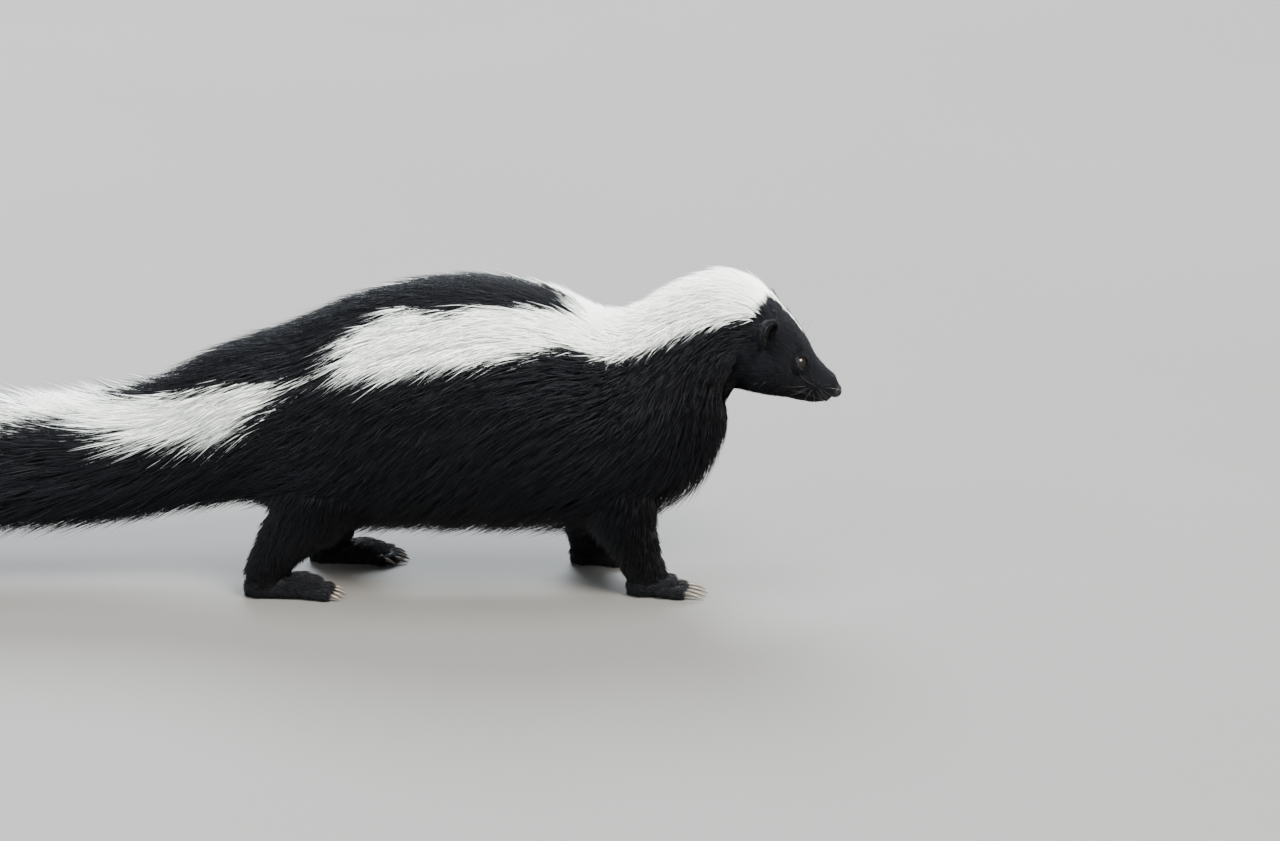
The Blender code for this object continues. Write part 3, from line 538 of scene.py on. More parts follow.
class Paint:
    """The nodes of one material."""

    def __init__(self, name):
        self.material = bpy.data.materials.new(name)
        self.material.use_nodes = True
        self.tree = self.material.node_tree
        self.tree.nodes.clear()

    def node(self, kind, settings=None, sockets=None):
        """Adds a node: its type, then its settings, then its sockets' values or links."""
        made = self.tree.nodes.new("ShaderNode" + kind)
        for key, value in (settings or {}).items():
            setattr(made, key, value)
        for key, value in (sockets or {}).items():
            socket = made.inputs[key] if isinstance(key, int) else next(
                s for s in made.inputs if key in (s.identifier, s.name) and s.enabled)
            value = value.socket if isinstance(value, Sum) else value
            if isinstance(value, bpy.types.NodeSocket):
                self.tree.links.new(value, socket)
            elif hasattr(value, "__len__") and len(socket.default_value) > len(value):
                socket.default_value = (*value, 1.0)
            else:
                socket.default_value = value
        return made

    def number(self, kind, settings=None, sockets=None, output=0):
        """Adds a node and gives one of its outputs to reckon with."""
        return Sum(self, self.node(kind, settings, sockets).outputs[output])

    def attribute(self, name):
        return self.number("Attribute", {"attribute_name": name}, output="Fac")

    def place(self, scale=(1, 1, 1)):
        """Object coordinates, stretched for a pattern."""
        there = self.node("TexCoord").outputs["Object"]
        return self.node("Mapping", {"vector_type": "POINT"}, {
            "Vector": there, "Scale": scale}).outputs[0]

    def noise(self, scale, detail=3.0, stretch=(1, 1, 1), rough=0.55):
        return self.number("TexNoise", None, {
            "Vector": self.place(stretch), "Scale": scale, "Detail": detail, "Roughness": rough})

    def mix(self, share, one, two):
        """One colour passing into another."""
        made = self.node("Mix", {"data_type": "RGBA", "clamp_factor": True}, {
            "Factor_Float": share, "A_Color": one, "B_Color": two})
        return next(s for s in made.outputs if s.identifier == "Result_Color")

    def bump(self, height, strength, distance, under=None):
        sockets = {"Height": height, "Strength": strength, "Distance": distance}
        if under is not None:
            sockets["Normal"] = under
        return self.node("Bump", None, sockets).outputs[0]

    def finish(self, colour, rough, normal=None, **uniform):
        """Ends the material in one shader. uniform holds numbers for its own sockets."""
        sockets = {"Base Color": colour, "Roughness": rough}
        if normal is not None:
            sockets["Normal"] = normal
        for key, value in uniform.items():
            sockets[key.replace("_", " ").title().replace("Ior", "IOR")] = value
        shader = self.node("BsdfPrincipled", None, sockets)
        self.node("OutputMaterial", None, {"Surface": shader.outputs[0]})
        return self.material


def fur_material(settings):
    """Black and cream tufts: each has its own tone. Painted shade darkens the cream tufts towards the
    root, and a painted bluish sheen lightens the black tufts towards the tip.
    """
    paint = Paint("coat_of_black_and_cream")
    white, tone, along = (paint.attribute(n) for n in ("white", "tone", "along"))
    dark = paint.mix(tone, settings.black, settings.black_sheen)
    # painted sheen: the black tufts grow paler and bluer towards the tip, like light caught from the sky
    dark = paint.mix((along - 0.55) * 0.8, dark, settings.black_tip_sheen)
    # painted shade: the cream tufts turn darker and yellower towards the root, more so in tufts of low
    # tone
    root = paint.mix(tone, settings.cream_root_shade, settings.cream)
    cream = paint.mix(along.above(0.25, 0.5), root, settings.cream)
    cream = paint.mix(tone * 0.35, cream, settings.cream_cool)
    streak = paint.noise(900.0, 2.0, (0.15, 1, 1))
    rough = 0.42 + tone * 0.14 + white * 0.16 + streak * 0.08
    return paint.finish(paint.mix(white, dark, cream), rough, sheen_weight=0.015,
                        sheen_roughness=0.5, specular_ior_level=0.12)


def skin_material(settings):
    """Hide under the coat, with its markings, and bare leather where no fur grows."""
    paint = Paint("hide_and_bare_skin")
    white, bare = paint.attribute("white"), paint.attribute("bare")
    mottle = paint.noise(180.0, 4.0)
    lay = paint.noise(1500.0, 3.0, (0.22, 1, 1), 0.6)
    hide = paint.mix(mottle, settings.hide, settings.hide_sheen)
    hide = paint.mix(white, hide, settings.cream_hide)
    hide = paint.mix(bare, hide, paint.mix(mottle, settings.bare, settings.bare_pale))
    grain = paint.number("TexVoronoi", {"feature": "DISTANCE_TO_EDGE"}, {
        "Vector": paint.place(), "Scale": 1300.0})
    furry = paint.bump(lay, 0.55, 0.0004)
    normal = paint.bump(grain.math("MINIMUM", grain, 0.25) * bare, 0.5, 0.0003, furry)
    rough = 0.56 + mottle * 0.12 - bare * 0.12
    return paint.finish(hide, rough, normal, specular_ior_level=0.2)


def leather_material(settings):
    """The nose pad: pebbled, dark and moist."""
    paint = Paint("moist_nose_leather")
    pebble = paint.number("TexVoronoi", {"feature": "SMOOTH_F1"}, {
        "Vector": paint.place(), "Scale": 1900.0, "Smoothness": 0.4})
    mottle = paint.noise(500.0, 4.0)
    colour = paint.mix(mottle, settings.leather, settings.leather_pale)
    normal = paint.bump(1.0 - pebble, 0.5, 0.0003)
    return paint.finish(colour, 0.40 + mottle * 0.16, normal, coat_weight=0.08,
                        coat_roughness=0.18, specular_ior_level=0.22)


def eye_material(settings, side):
    """A dark brown iris round a black pupil, under a clear wet front."""
    paint = Paint(f"wet_eye_{side}")
    gaze = paint.attribute("gaze")
    veins = paint.noise(1400.0, 5.0)
    iris = paint.mix(veins, settings.iris, settings.iris_edge)
    colour = paint.mix(gaze.above(0.44, 0.06), settings.pupil, iris)
    colour = paint.mix(gaze.above(0.80, 0.08), colour, settings.eye_rim)
    return paint.finish(colour, 0.20 + veins * 0.05, coat_weight=0.30, coat_roughness=0.03,
                        specular_ior_level=0.15)


def horn_material(settings):
    """Claws: brown horn, darker at the root and paler at the tip."""
    paint = Paint("claw_horn")
    along = paint.attribute("along")
    grain = paint.noise(900.0, 4.0, (0.12, 1, 1))
    colour = paint.mix(along, settings.horn_root, settings.horn_tip)
    colour = paint.mix(grain * 0.5, colour, settings.horn_root)
    normal = paint.bump(grain, 0.35, 0.0002)
    return paint.finish(colour, 0.30 + grain * 0.2, normal, coat_weight=0.15)


def whisker_material(settings):
    """Stiff black whiskers, a little paler in places."""
    paint = Paint("whisker_bristle")
    shade = paint.noise(60.0, 2.0)
    colour = paint.mix(shade, settings.whisker, settings.whisker_pale)
    return paint.finish(colour, 0.32 + shade * 0.1)


def floor_material(settings):
    """A plain pale studio floor with the faintest unevenness."""
    paint = Paint("pale_studio_floor")
    tone = paint.noise(1.6, 3.0)
    colour = paint.mix(tone, settings.floor, settings.floor_shade)
    return paint.finish(colour, 0.62 + tone * 0.1, specular_ior_level=0.25)


# Skin and feet

def axis_and_rise(pitch):
    """The way along and the way up of something pitched in the upright plane."""
    tilt = math.radians(pitch)
    return (np.array((math.cos(tilt), 0, math.sin(tilt))),
            np.array((-math.sin(tilt), 0, math.cos(tilt))))


def limb_marks(kind, side):
    """Sections of a limb and of its paw: x, y, z, pitch, half width and half depth."""
    left = 1 if side == "left" else -1
    if kind == "fore":
        y, f = FORE_SIDE * left, FORE_STRIDE[side]
        limb = [(0.094, y * 0.62, 0.108, -95, 0.0100, 0.0220),
                (0.090 + 0.25 * f, y * 0.80, 0.082, -95, 0.0125, 0.0210),
                (0.088 + 0.55 * f, y * 0.96, 0.056, -88, 0.0130, 0.0165),
                (0.091 + 0.85 * f, y, 0.033, -82, 0.0112, 0.0125),
                (0.095 + f, y, 0.016, -75, 0.0108, 0.0118),
                (0.097 + f, y, 0.006, -75, 0.0095, 0.0105)]
        x = 0.097 + f
        paw = [(x - 0.014, y, 0.0075, 0, 0.0055, 0.0050), (x - 0.008, y, 0.0085, 0, 0.0105, 0.0085),
               (x + 0.003, y, 0.0092, -4, 0.0120, 0.0090), (x + 0.012, y, 0.0078, -8, 0.0110, 0.0072),
               (x + 0.016, y, 0.0066, -8, 0.0078, 0.0052)]
        return limb, paw
    y, f = HIND_SIDE * left, HIND_STRIDE[side]
    limb = [(-0.104, y * 0.70, 0.108, -80, 0.0130, 0.0300),
            (-0.096 + 0.3 * f, y * 0.86, 0.084, -95, 0.0160, 0.0280),
            (-0.100 + 0.6 * f, y * 0.98, 0.060, -112, 0.0150, 0.0210),
            (-0.114 + 0.85 * f, y, 0.038, -118, 0.0120, 0.0140),
            (-0.123 + f, y, 0.020, -100, 0.0105, 0.0115), (-0.124 + f, y, 0.008, -80, 0.0100, 0.0105)]
    x = -0.124 + f
    paw = [(x - 0.013, y, 0.0080, 0, 0.0055, 0.0050), (x - 0.007, y, 0.0085, 0, 0.0098, 0.0088),
           (x + 0.010, y, 0.0082, 0, 0.0112, 0.0082), (x + 0.023, y, 0.0082, -2, 0.0124, 0.0080),
           (x + 0.032, y, 0.0074, -6, 0.0112, 0.0068), (x + 0.036, y, 0.0064, -8, 0.0080, 0.0050)]
    return limb, paw


def tube_rings(marks, sides):
    """Rings of a limb, three for each step between its marks."""
    marks = np.array(marks, float)
    at = np.arange(len(marks))
    fine = np.linspace(0, len(marks) - 1, (len(marks) - 1) * 3 + 1)
    rows = np.stack([np.interp(fine, at, marks[:, k]) for k in range(6)], 1)
    rings = []
    for x, y, z, pitch, wide, deep in rows:
        rise = axis_and_rise(pitch)[1]
        turn = np.linspace(0, 2 * math.pi, sides, endpoint=False)[:, None]
        rings.append(np.array((x, y, z)) + np.cos(turn) * (0, wide, 0) + np.sin(turn) * deep * rise)
    return rings


def toe_frames(kind, side):
    """Root, end and direction of each toe of a foot, inner toe first."""
    x, y, z = limb_marks(kind, side)[1][-1][:3]
    inner = -1.0 if side == "left" else 1.0
    frames = []
    for n, share in enumerate((-1.0, -0.5, 0.0, 0.5, 1.0)):
        fan = -share * inner
        turn = math.radians(9.0) * fan
        ahead = Vector((math.cos(turn), math.sin(turn), -0.10)).normalized()
        start = Vector((x - 0.011, y + fan * 0.0100, z + 0.0004))
        reach = 0.0205 - 0.0028 * abs(share) - (0.0060 if n == 0 else 0.0)
        frames.append((start, start + ahead * reach, ahead))
    return frames


def crosswise(ahead):
    """The ways across and up from a toe or a claw that points ahead."""
    across = ahead.cross(Vector((0, 0, 1))).normalized()
    return across, across.cross(ahead).normalized()


def ball(name, centre, axes, radii, segments, rings):
    """A closed ellipsoid along three axes."""
    v = np.linspace(0, math.pi, rings + 1)[1:-1]
    u = np.linspace(0, 2 * math.pi, segments, endpoint=False)
    axes = np.array([np.array(a) * r for a, r in zip(axes, radii)])
    where = np.stack([np.outer(np.cos(v), np.ones(segments)), np.outer(np.sin(v), np.cos(u)),
                      np.outer(np.sin(v), np.sin(u))], -1)
    obj = loft(name, where @ axes + np.array(centre))
    points = points_of(obj)
    points[-2:] = [np.array(centre) + axes[0], np.array(centre) - axes[0]]
    move_points(obj, points)
    return obj


def foot_and_leg(kind, side):
    """A leg with its paw, toes and pads as one even mesh with a level sole."""
    limb, paw = limb_marks(kind, side)
    name = f"{kind}_{side}"
    obj = loft(name, tube_rings(limb, 20))
    parts = [loft(name + "_paw", tube_rings(paw, 20))]
    for n, (start, end, ahead) in enumerate(toe_frames(kind, side)):
        across, rise = crosswise(ahead)
        rings = []
        for t, size in KNUCKLES:
            here = start.lerp(end, t)
            rings.append([here + across * math.cos(a) * size + rise * math.sin(a) * size * 1.05
                          for a in np.linspace(0, 2 * math.pi, 12, endpoint=False)])
        parts.append(loft(f"{name}_toe_{n}", rings))
        pad = start.lerp(end, 0.82) - rise * 0.0016
        parts.append(ball(f"{name}_pad_{n}", pad, (ahead, across, rise), (0.0040, 0.0027, 0.0026), 12, 8))
    fuse(obj, parts)
    remeshed(obj, LEG_VOXEL, 3)
    points = points_of(obj)
    points[:, 2] = np.maximum(points[:, 2], SOLE_CUT)
    move_points(obj, points)
    return obj


def ear_axes(side):
    """Middle of an ear, the ways it stands and faces, and the way across it."""
    here, forward, outward = surface_frame(place(*EAR_AT[:2]), side * EAR_AT[2])
    stand = (outward * 0.75 + Vector((0, 0, 1)) * 0.55 - forward * 0.30).normalized()
    face = forward * 0.75 + outward * 0.50
    face = (face - stand * face.dot(stand)).normalized()
    return here + stand * 0.0048, stand, face, stand.cross(face).normalized()


def ear_cup(name, side):
    """A small round ear: a thin curled rim round a hollow with one inner fold."""
    middle, stand, face, across = ear_axes(side)
    profile = ((0.05, -0.0042), (0.30, -0.0042), (0.60, -0.0037), (0.84, -0.0024), (0.96, -0.0006),
               (1.0, 0.0008), (0.975, 0.0017), (0.93, 0.0017), (0.89, 0.0010), (0.82, -0.0001),
               (0.72, -0.0010), (0.60, -0.0016), (0.42, -0.0024), (0.24, -0.0031), (0.05, -0.0034))
    rings = []
    for reach, depth in profile:
        ring = []
        for turn in np.linspace(0, 2 * math.pi, 44, endpoint=False):
            wide = math.cos(turn) * EAR_SIZE[0] * reach
            tall = math.sin(turn) * EAR_SIZE[1] * reach
            notch = 0.0012 * math.exp(-((turn - 4.2) / 0.35) ** 2) * reach**3
            ring.append(middle + across * wide + stand * (tall + notch * 0.5)
                        + face * (depth + EAR_CURL * wide * wide - notch))
        rings.append(ring)
    cup = loft(name, rings)
    fold = ball(name + "_fold", middle - stand * 0.0035 + face * -0.0012 + across * 0.0030,
                (across, stand, face), (0.0016, 0.0036, 0.0016), 16, 10)
    return [cup, fold]


def ear_local(points, side):
    """How far points are across, up and in front of the middle of an ear."""
    middle, stand, face, across = (np.array(v) for v in ear_axes(side))
    return ((points - middle) @ way for way in (across, stand, face))


def lid_ring(name, side):
    """Upper and lower lids that hug the eyeball in an almond opening."""
    centre, forward, upward, outward = eye_spot(side)
    lean = math.radians(-14)
    long_way = (forward * math.cos(lean) + upward * math.sin(lean)).normalized()
    tall_way = (upward * math.cos(lean) - forward * math.sin(lean)).normalized()
    rings = []
    for turn in np.linspace(0, 2 * math.pi, 56, endpoint=False):
        c, s = math.cos(turn), math.sin(turn)
        reach = 1.0 / math.sqrt((c / 0.0043) ** 2 + (s / (0.0034 if s > 0 else 0.0031)) ** 2)
        way = long_way * c + tall_way * s
        height = math.sqrt((EYE_RADIUS + 0.0001) ** 2 - reach**2)
        brow = 0.0004 if s > 0.2 else 0.0
        section = ((reach - 0.0002, height - 0.0012), (reach + 0.00005, height + 0.0001),
                   (reach + 0.0004, height + 0.0005 + brow), (reach + 0.0011, height + 0.0003 + brow),
                   (reach + 0.0022, height - 0.0006 + brow * 0.7), (reach + 0.0042, 0.0012),
                   (reach + 0.0050, -0.0010), (reach + 0.0010, -0.0020))
        rings.append([centre + way * out + outward * up for out, up in section])
    return loft(name, rings, around=True)


# The mouth from its corner to the chin: section, share on from it and angle.
MOUTH = (("eyes", 0.55, 120.0), ("muzzle_root", 0.05, 116.0), ("muzzle_root", 0.5, 113.0),
         ("muzzle_mid", 0.0, 112.0), ("muzzle_mid", 0.5, 114.0), ("muzzle_tip", 0.0, 120.0),
         ("muzzle_tip", 0.45, 128.0))


def mouth_path():
    """Frames along the mouth, from one corner round the chin to the other."""
    marks = [(place(n, s), a) for n, s, a in MOUTH]
    marks = marks + [(place("muzzle_tip", 0.62), 179.0)] + [(d, -a) for d, a in reversed(marks)]
    at = np.arange(len(marks))
    fine = np.linspace(0, len(marks) - 1, MOUTH_STEPS + 1)
    distances = np.interp(fine, at, [m[0] for m in marks])
    angles = np.interp(fine, at, [m[1] % 360 for m in marks])
    return [surface_frame(distance, angle, 0.0) for distance, angle in zip(distances, angles)]


def mouth_line(half, deep, lift):
    """A strip along the mouth, for the line itself or for the lip under it."""
    path = mouth_path()
    rings = []
    for i, (here, _, outward) in enumerate(path):
        ahead = (path[min(i + 1, MOUTH_STEPS)][0] - path[max(i - 1, 0)][0]).normalized()
        out = (outward - ahead * outward.dot(ahead)).normalized()
        rise = ahead.cross(out)
        if rise.dot(Vector((-0.5, 0, 0.8))) < 0:
            rise.negate()
        fade = min(1.0, 0.2 + min(i, MOUTH_STEPS - i) / 8)
        rings.append([here + rise * (lift + math.sin(t) * half * fade) + out * math.cos(t) * deep * fade
                      for t in np.linspace(0, 2 * math.pi, 8, endpoint=False)])
    return loft("mouth_line", rings)


def trunk_skin():
    """The hide of tail, torso, neck and head in one closed mesh."""
    steps = np.concatenate([np.arange(0.0, 0.30, 0.006), np.arange(0.30, 0.655, 0.0045),
                            np.arange(0.655, ALONG[-1], 0.0011), [ALONG[-1]]])
    turns = np.linspace(-180, 180, 128, endpoint=False)
    rings = body_points(steps[:, None], turns[None, :], 0.0)
    far, turned = steps[:, None], np.abs(turns[None])
    grow = sum(height * (hill(far, place(name, share), half) * hill(turned, angle, wide))
               for name, share, half, angle, wide, height in FACE_SWELLS)
    fill = hill(far, *THROAT_AT[:2]) * hill(turned, 180, THROAT_AT[2])
    middle = np.stack([np.interp(steps, FAR, SECTIONS[:, 0]), np.zeros(len(steps)),
                       np.interp(steps, FAR, SECTIONS[:, 1])], 1)[:, None]
    rings += unit(rings - middle) * grow[..., None] + fill[..., None] * np.array(THROAT_FILL)
    return loft("skunk_skin", rings)


class Places:
    """Finds which section and angle of the body, or which leg or ear, a point is on."""

    def __init__(self):
        marks, points = [], []
        d = np.arange(0.0, ALONG[-1], 0.0025)
        a = np.arange(-180.0, 180.0, 4.0)
        grid = body_points(d[:, None], a[None, :], 0.0).reshape(-1, 3)
        points.append(grid)
        marks.append(np.stack([np.zeros(len(grid)), np.repeat(d, len(a)), np.tile(a, len(d))], 1))
        for n, (kind, side) in enumerate(LEGS):
            limb, paw = limb_marks(kind, side)
            for part, rows in enumerate((limb[1:], paw)):
                rings = np.array(tube_rings(rows, 28))
                count = len(rings)
                along = (np.arange(count) / (count - 1) + part) / 2
                around = np.linspace(0, 360, 28, endpoint=False)
                points.append(rings.reshape(-1, 3))
                marks.append(np.stack([np.full(count * 28, n + 1.0), np.repeat(along, 28),
                                       np.tile(around, count)], 1))
            for start, end, _ in toe_frames(kind, side):
                toe = np.array([start.lerp(end, t) + Vector((0, 0, 0.003)) for t in (0.4, 0.7, 1.0)])
                points.append(toe)
                marks.append(np.array([(n + 1.0, 0.97, 90.0)] * 3))
        for n, side in enumerate((1, -1)):
            middle, stand, face, across = (np.array(v) for v in ear_axes(side))
            for depth, reach, turn in itertools.product(
                    (-0.003, 0.0), (0.4, 0.8), np.linspace(0.1, math.pi - 0.1, 9)):
                points.append((middle + across * math.cos(turn) * EAR_SIZE[0] * reach
                               + stand * math.sin(turn) * EAR_SIZE[1] * reach + face * depth)[None])
                marks.append(np.array([(5.0 + n, reach, math.degrees(turn))]))
        self.marks = np.concatenate(marks)
        points = np.concatenate(points)
        self.tree = KDTree(len(points))
        for i, point in enumerate(points):
            self.tree.insert(point, i)
        self.tree.balance()

    def of(self, points):
        """Region, distance or share along it, and angle, for each point."""
        return self.marks[[self.tree.find(p)[1] for p in points]]


def skin_marks(points, normals, where):
    """The skin's whiteness and bareness at its points."""
    white = white_share(where[:, 1], where[:, 2], points) * (where[:, 0] == 0)
    bare = np.zeros(len(points))
    feet = (where[:, 0] >= 1) & (where[:, 0] <= 4)
    bare[feet & (points[:, 2] < 0.0050) & (normals[:, 2] < -0.60)] = 1.0
    for side in (1, -1):
        centre, _, _, outward = (np.array(v) for v in eye_spot(side))
        away = points - centre
        up = away @ outward
        reach = np.linalg.norm(away - up[:, None] * outward, axis=1)
        rim = np.clip(1.6 - np.abs(np.linalg.norm(away, axis=1) - EYE_RADIUS - 0.0002) / 0.0007, 0, 1)
        bare = np.maximum(bare, rim * (up > 0) * (reach < 0.0062))
        wide, tall, deep = ear_local(points, side)
        depth = deep - EAR_CURL * wide**2
        reach = np.hypot(wide / EAR_SIZE[0], tall / EAR_SIZE[1])
        cup = (reach < 0.86) & (depth > -0.0036) & (depth < 0.0030)
        bare = np.maximum(bare, 0.8 * (cup & (normals @ np.array(ear_axes(side)[2]) > 0.1)))
        white[(np.hypot(wide, tall) < 0.012) & (np.abs(deep) < 0.006)] = 0
    return white, bare


# Coat

def spread(count, seed):
    """Two even draws from 0 to 1 for each of many tufts, without clumps or gaps: n
    times two shares of the plastic number, which never falls into rows."""
    plastic = 1.324717957244746
    n = np.arange(1, count + 1) + seed * 1009
    return (n / plastic) % 1.0, (n / plastic**2) % 1.0


def clump_aim(distance, angle, thick):
    """The centre of the clump that each tuft leans to: tufts share the nearest of
    the jittered centres, as hairs do where a coat parts into locks. thick is the
    length of a degree round the body."""
    rows, columns = 512, 128
    table = np.random.default_rng(CLUMP_SEED).uniform(-0.42, 0.42, (rows, columns, 2))
    along = distance / CLUMP_SIZE
    per = np.maximum(np.round(360.0 * thick / (CLUMP_SIZE * 0.8)), 6)
    around = (angle + 180.0) / 360.0 * per
    best = np.full(len(distance), np.inf)
    aim = np.stack([distance, angle])
    for i, j in itertools.product((-1, 0, 1), (-1, 0, 1)):
        row = np.floor(along).astype(int) + i
        column = (np.floor(around).astype(int) + j) % per.astype(int)
        jitter = table[row % rows, column % columns]
        where = row + 0.5 + jitter[:, 0]
        gap = (column + 0.5 + jitter[:, 1] - around + per / 2) % per - per / 2
        far = (where - along) ** 2 + gap**2
        aim = np.where(far < best, (where * CLUMP_SIZE, angle + gap / per * 360.0), aim)
        best = np.minimum(best, far)
    return aim


def spindles(spine, outs, width, shares):
    """Thin three-sided tufts, each from one root point to one tip.

    spine holds each tuft's points from root to tip, outs the way that is up from
    the skin at each point between them, and shares its width there. Gives the
    points and faces of a tuft, and how far along and across it each point is.
    """
    count, rings = spine.shape[0], spine.shape[1] - 2
    ahead = unit(spine[:, 2:] - spine[:, :-2])
    up = unit(outs - ahead * (outs * ahead).sum(-1, keepdims=True))
    side = np.cross(ahead, up)
    wide = (width[:, None] * np.asarray(shares)[None, :] / 2)[..., None]
    here = spine[:, 1:-1]
    loops = np.stack([here + side * wide - up * wide * 0.3, here - side * wide - up * wide * 0.3,
                      here + up * wide * 0.6], axis=2)
    points = np.concatenate([spine[:, :1], loops.reshape(count, rings * 3, 3), spine[:, -1:]], axis=1)
    faces, last = [], rings * 3 + 1
    for a, b in ((0, 1), (1, 2), (2, 0)):
        faces.append((0, 1 + b, 1 + a))
        for j in range(rings - 1):
            first = 1 + 3 * j
            faces += [(first + a, first + b, first + 3 + b), (first + a, first + 3 + b, first + 3 + a)]
        faces.append((last - 3 + a, last - 3 + b, last))
    along = np.concatenate([[0.0], np.repeat((np.arange(rings) + 1) / (rings + 1), 3), [1.0]])
    across = np.concatenate([[0.0], np.tile((-1.0, 1.0, 0.0), rings), [0.0]])
    return points, np.array(faces), along, across


def slivers(spine, up, width):
    """Short tufts of four faces: a root, two sides half way and a tip. Gives what
    spindles gives."""
    side = unit(np.cross(unit(spine[:, 2] - spine[:, 0]), up)) * width[:, None] / 2
    points = np.stack([spine[:, 0], spine[:, 1] + side, spine[:, 1] - side, spine[:, 2]], axis=1)
    return (points, np.array([(0, 1, 2), (1, 3, 2), (0, 2, 3), (0, 3, 1)]),
            np.array([0.0, 0.5, 0.5, 1.0]), np.array([0.0, -1.0, 1.0, 0.0]))


def on_unwrap(across, up, left=0.0, width=1.0, margin=MARGIN):
    """Places on the unwrap from shares across a part of it and up, inside its margins."""
    return np.stack([left + margin + (width - 2 * margin) * across, margin + (1 - 2 * margin) * up], 1)


def on_half(across, up, second):
    """As on_unwrap, for one of two like parts that share the unwrap side by side."""
    return on_unwrap(across, up, np.where(second, 0.5, 0.0), 0.5, 2 * MARGIN)


def tuft_looks(draw, share, roots, mottle, size, seed):
    """Whether each tuft is white, from the share of white at its root, and its tone."""
    count = len(share)
    white = (share > draw.uniform(0.12, 0.88, count)).astype(float)
    tone = 0.5 + mottle * scatter_noise(roots, size, seed) + draw.normal(0, 0.2, count)
    return white, np.clip(tone, 0, 1)


def tuft_mesh(name, layers):
    """Joins layers of tufts in one mesh. Each layer holds a tuft's points and faces,
    as spindles gives them, then each tuft's whiteness, tone and place on the unwrap."""
    points, faces, marks, patches, first = [], [], [], [], 0
    for (spots, one, along, across), white, tone, patch in layers:
        count, per = spots.shape[:2]
        points.append(spots.reshape(-1, 3))
        faces.append((one[None] + (np.arange(count) * per)[:, None, None]).reshape(-1, 3) + first)
        marks.append(np.stack([np.tile(along, count), np.repeat(white, per), np.repeat(tone, per)]))
        corner = np.stack([across, along * 2 - 1], 1)[one] * PATCH / 2
        patches.append((patch[:, None, None, :] + corner[None]).reshape(-1, 2))
        first += count * per
    obj = mesh_of(name, np.concatenate(points), np.concatenate(faces))
    for key, values in zip(("along", "white", "tone"), np.concatenate(marks, axis=1)):
        give(obj, key, values)
    layer = obj.data.uv_layers.new(name="OFBake")
    layer.data.foreach_set("uv", np.concatenate(patches).astype(np.float32).ravel())
    return obj


def long_layer(start, end, count, seed, settings, kind):
    """One layer of the long coat, from the deep wool to the guard hairs."""
    shorter, low, high, steps, rise, shares = kind
    draw = np.random.default_rng(seed)
    one, two = spread(count, seed)
    line = np.linspace(start, end, 400)
    girth = sum(np.interp(line, FAR, SECTIONS[:, k]) for k in (3, 4, 5)) + 0.03
    total = np.cumsum(girth)
    distance = np.interp(one, (total - total[0]) / (total[-1] - total[0]), line)
    angle = two * 360.0 - 180.0
    patch = on_unwrap((distance - start) / (end - start), two)
    thick = np.interp(distance, FAR, SECTIONS[:, 3] + SECTIONS[:, 6] * 0.6) * math.pi / 180
    run = read(TUFT_RUN, distance) * draw.uniform(0.72, 1.22, count) * shorter
    run = np.minimum(run, distance + draw.uniform(-0.006, 0.010, count))
    top = draw.uniform(low, high, count)
    loose = np.interp(distance, (0.22, 0.36), (1.0, 0.0))
    wild = draw.random(count) < 0.05 + 0.07 * loose
    top = np.where(wild & (high > 1), top * (1.07 + 0.05 * loose), top) * settings.fullness
    top = top * (1 + 0.25 * throat(distance + 0.030, angle))
    drift = tuft_drift(distance, angle) + draw.normal(0, 2.2, count)
    aim = clump_aim(distance, angle, thick)
    pull = settings.clumping * read(TUFT_PULL, distance)
    roots = body_points(distance, angle, 0.0)
    wave = scatter_noise(roots, 0.045, 5)
    sag = np.interp(distance, (0.26, 0.34), (0.40, 0.0)) * draw.uniform(0.2, 1.4, count)
    spine = np.empty((count, len(steps), 3))
    outs = np.empty((count, len(steps) - 2, 3))
    for k, (t, level) in enumerate(zip(steps, rise)):
        level = level - sag * t * (1 - t)
        lean = t**1.4 * pull
        d = distance - run * t + (aim[0] - distance) * lean * 0.5
        a = angle + drift * t**1.3 + wave * 5.0 * t + (aim[1] - angle) * lean
        share = np.maximum(level * top, -0.04)
        spine[:, k] = body_points(d, a, share)
        if 0 < k < len(steps) - 1:
            outs[:, k - 1] = unit(body_points(d, a, share + 0.2) - spine[:, k])
    stray = draw.normal(0, 1, (count, 3)) * read(TUFT_STRAY, distance)[:, None]
    stray[:, 0] *= np.interp(distance, (0.06, 0.12), (0.3, 1.0))
    spine[:, -1] += stray
    spine[:, -2] += stray * 0.35
    width = settings.tuft_width * draw.uniform(0.7, 1.35, count) * read(TUFT_WIDE, distance)
    seen_from = distance + draw.normal(0, 0.0022, count)
    share = white_share(seen_from, angle + draw.normal(0, 1.0, count), roots)
    white, tone = tuft_looks(draw, share, roots, 0.28, 0.02, 8)
    return spindles(spine, outs, width, shares), white, tone, patch


def trunk_tufts(name, start, end, count, seed, settings):
    """The long coat of one length of tail, torso or neck, in three layers."""
    return tuft_mesh(name, [long_layer(start, end, count // 3, seed + 40 * n, settings, kind)
                            for n, kind in enumerate(COAT_LAYERS)])


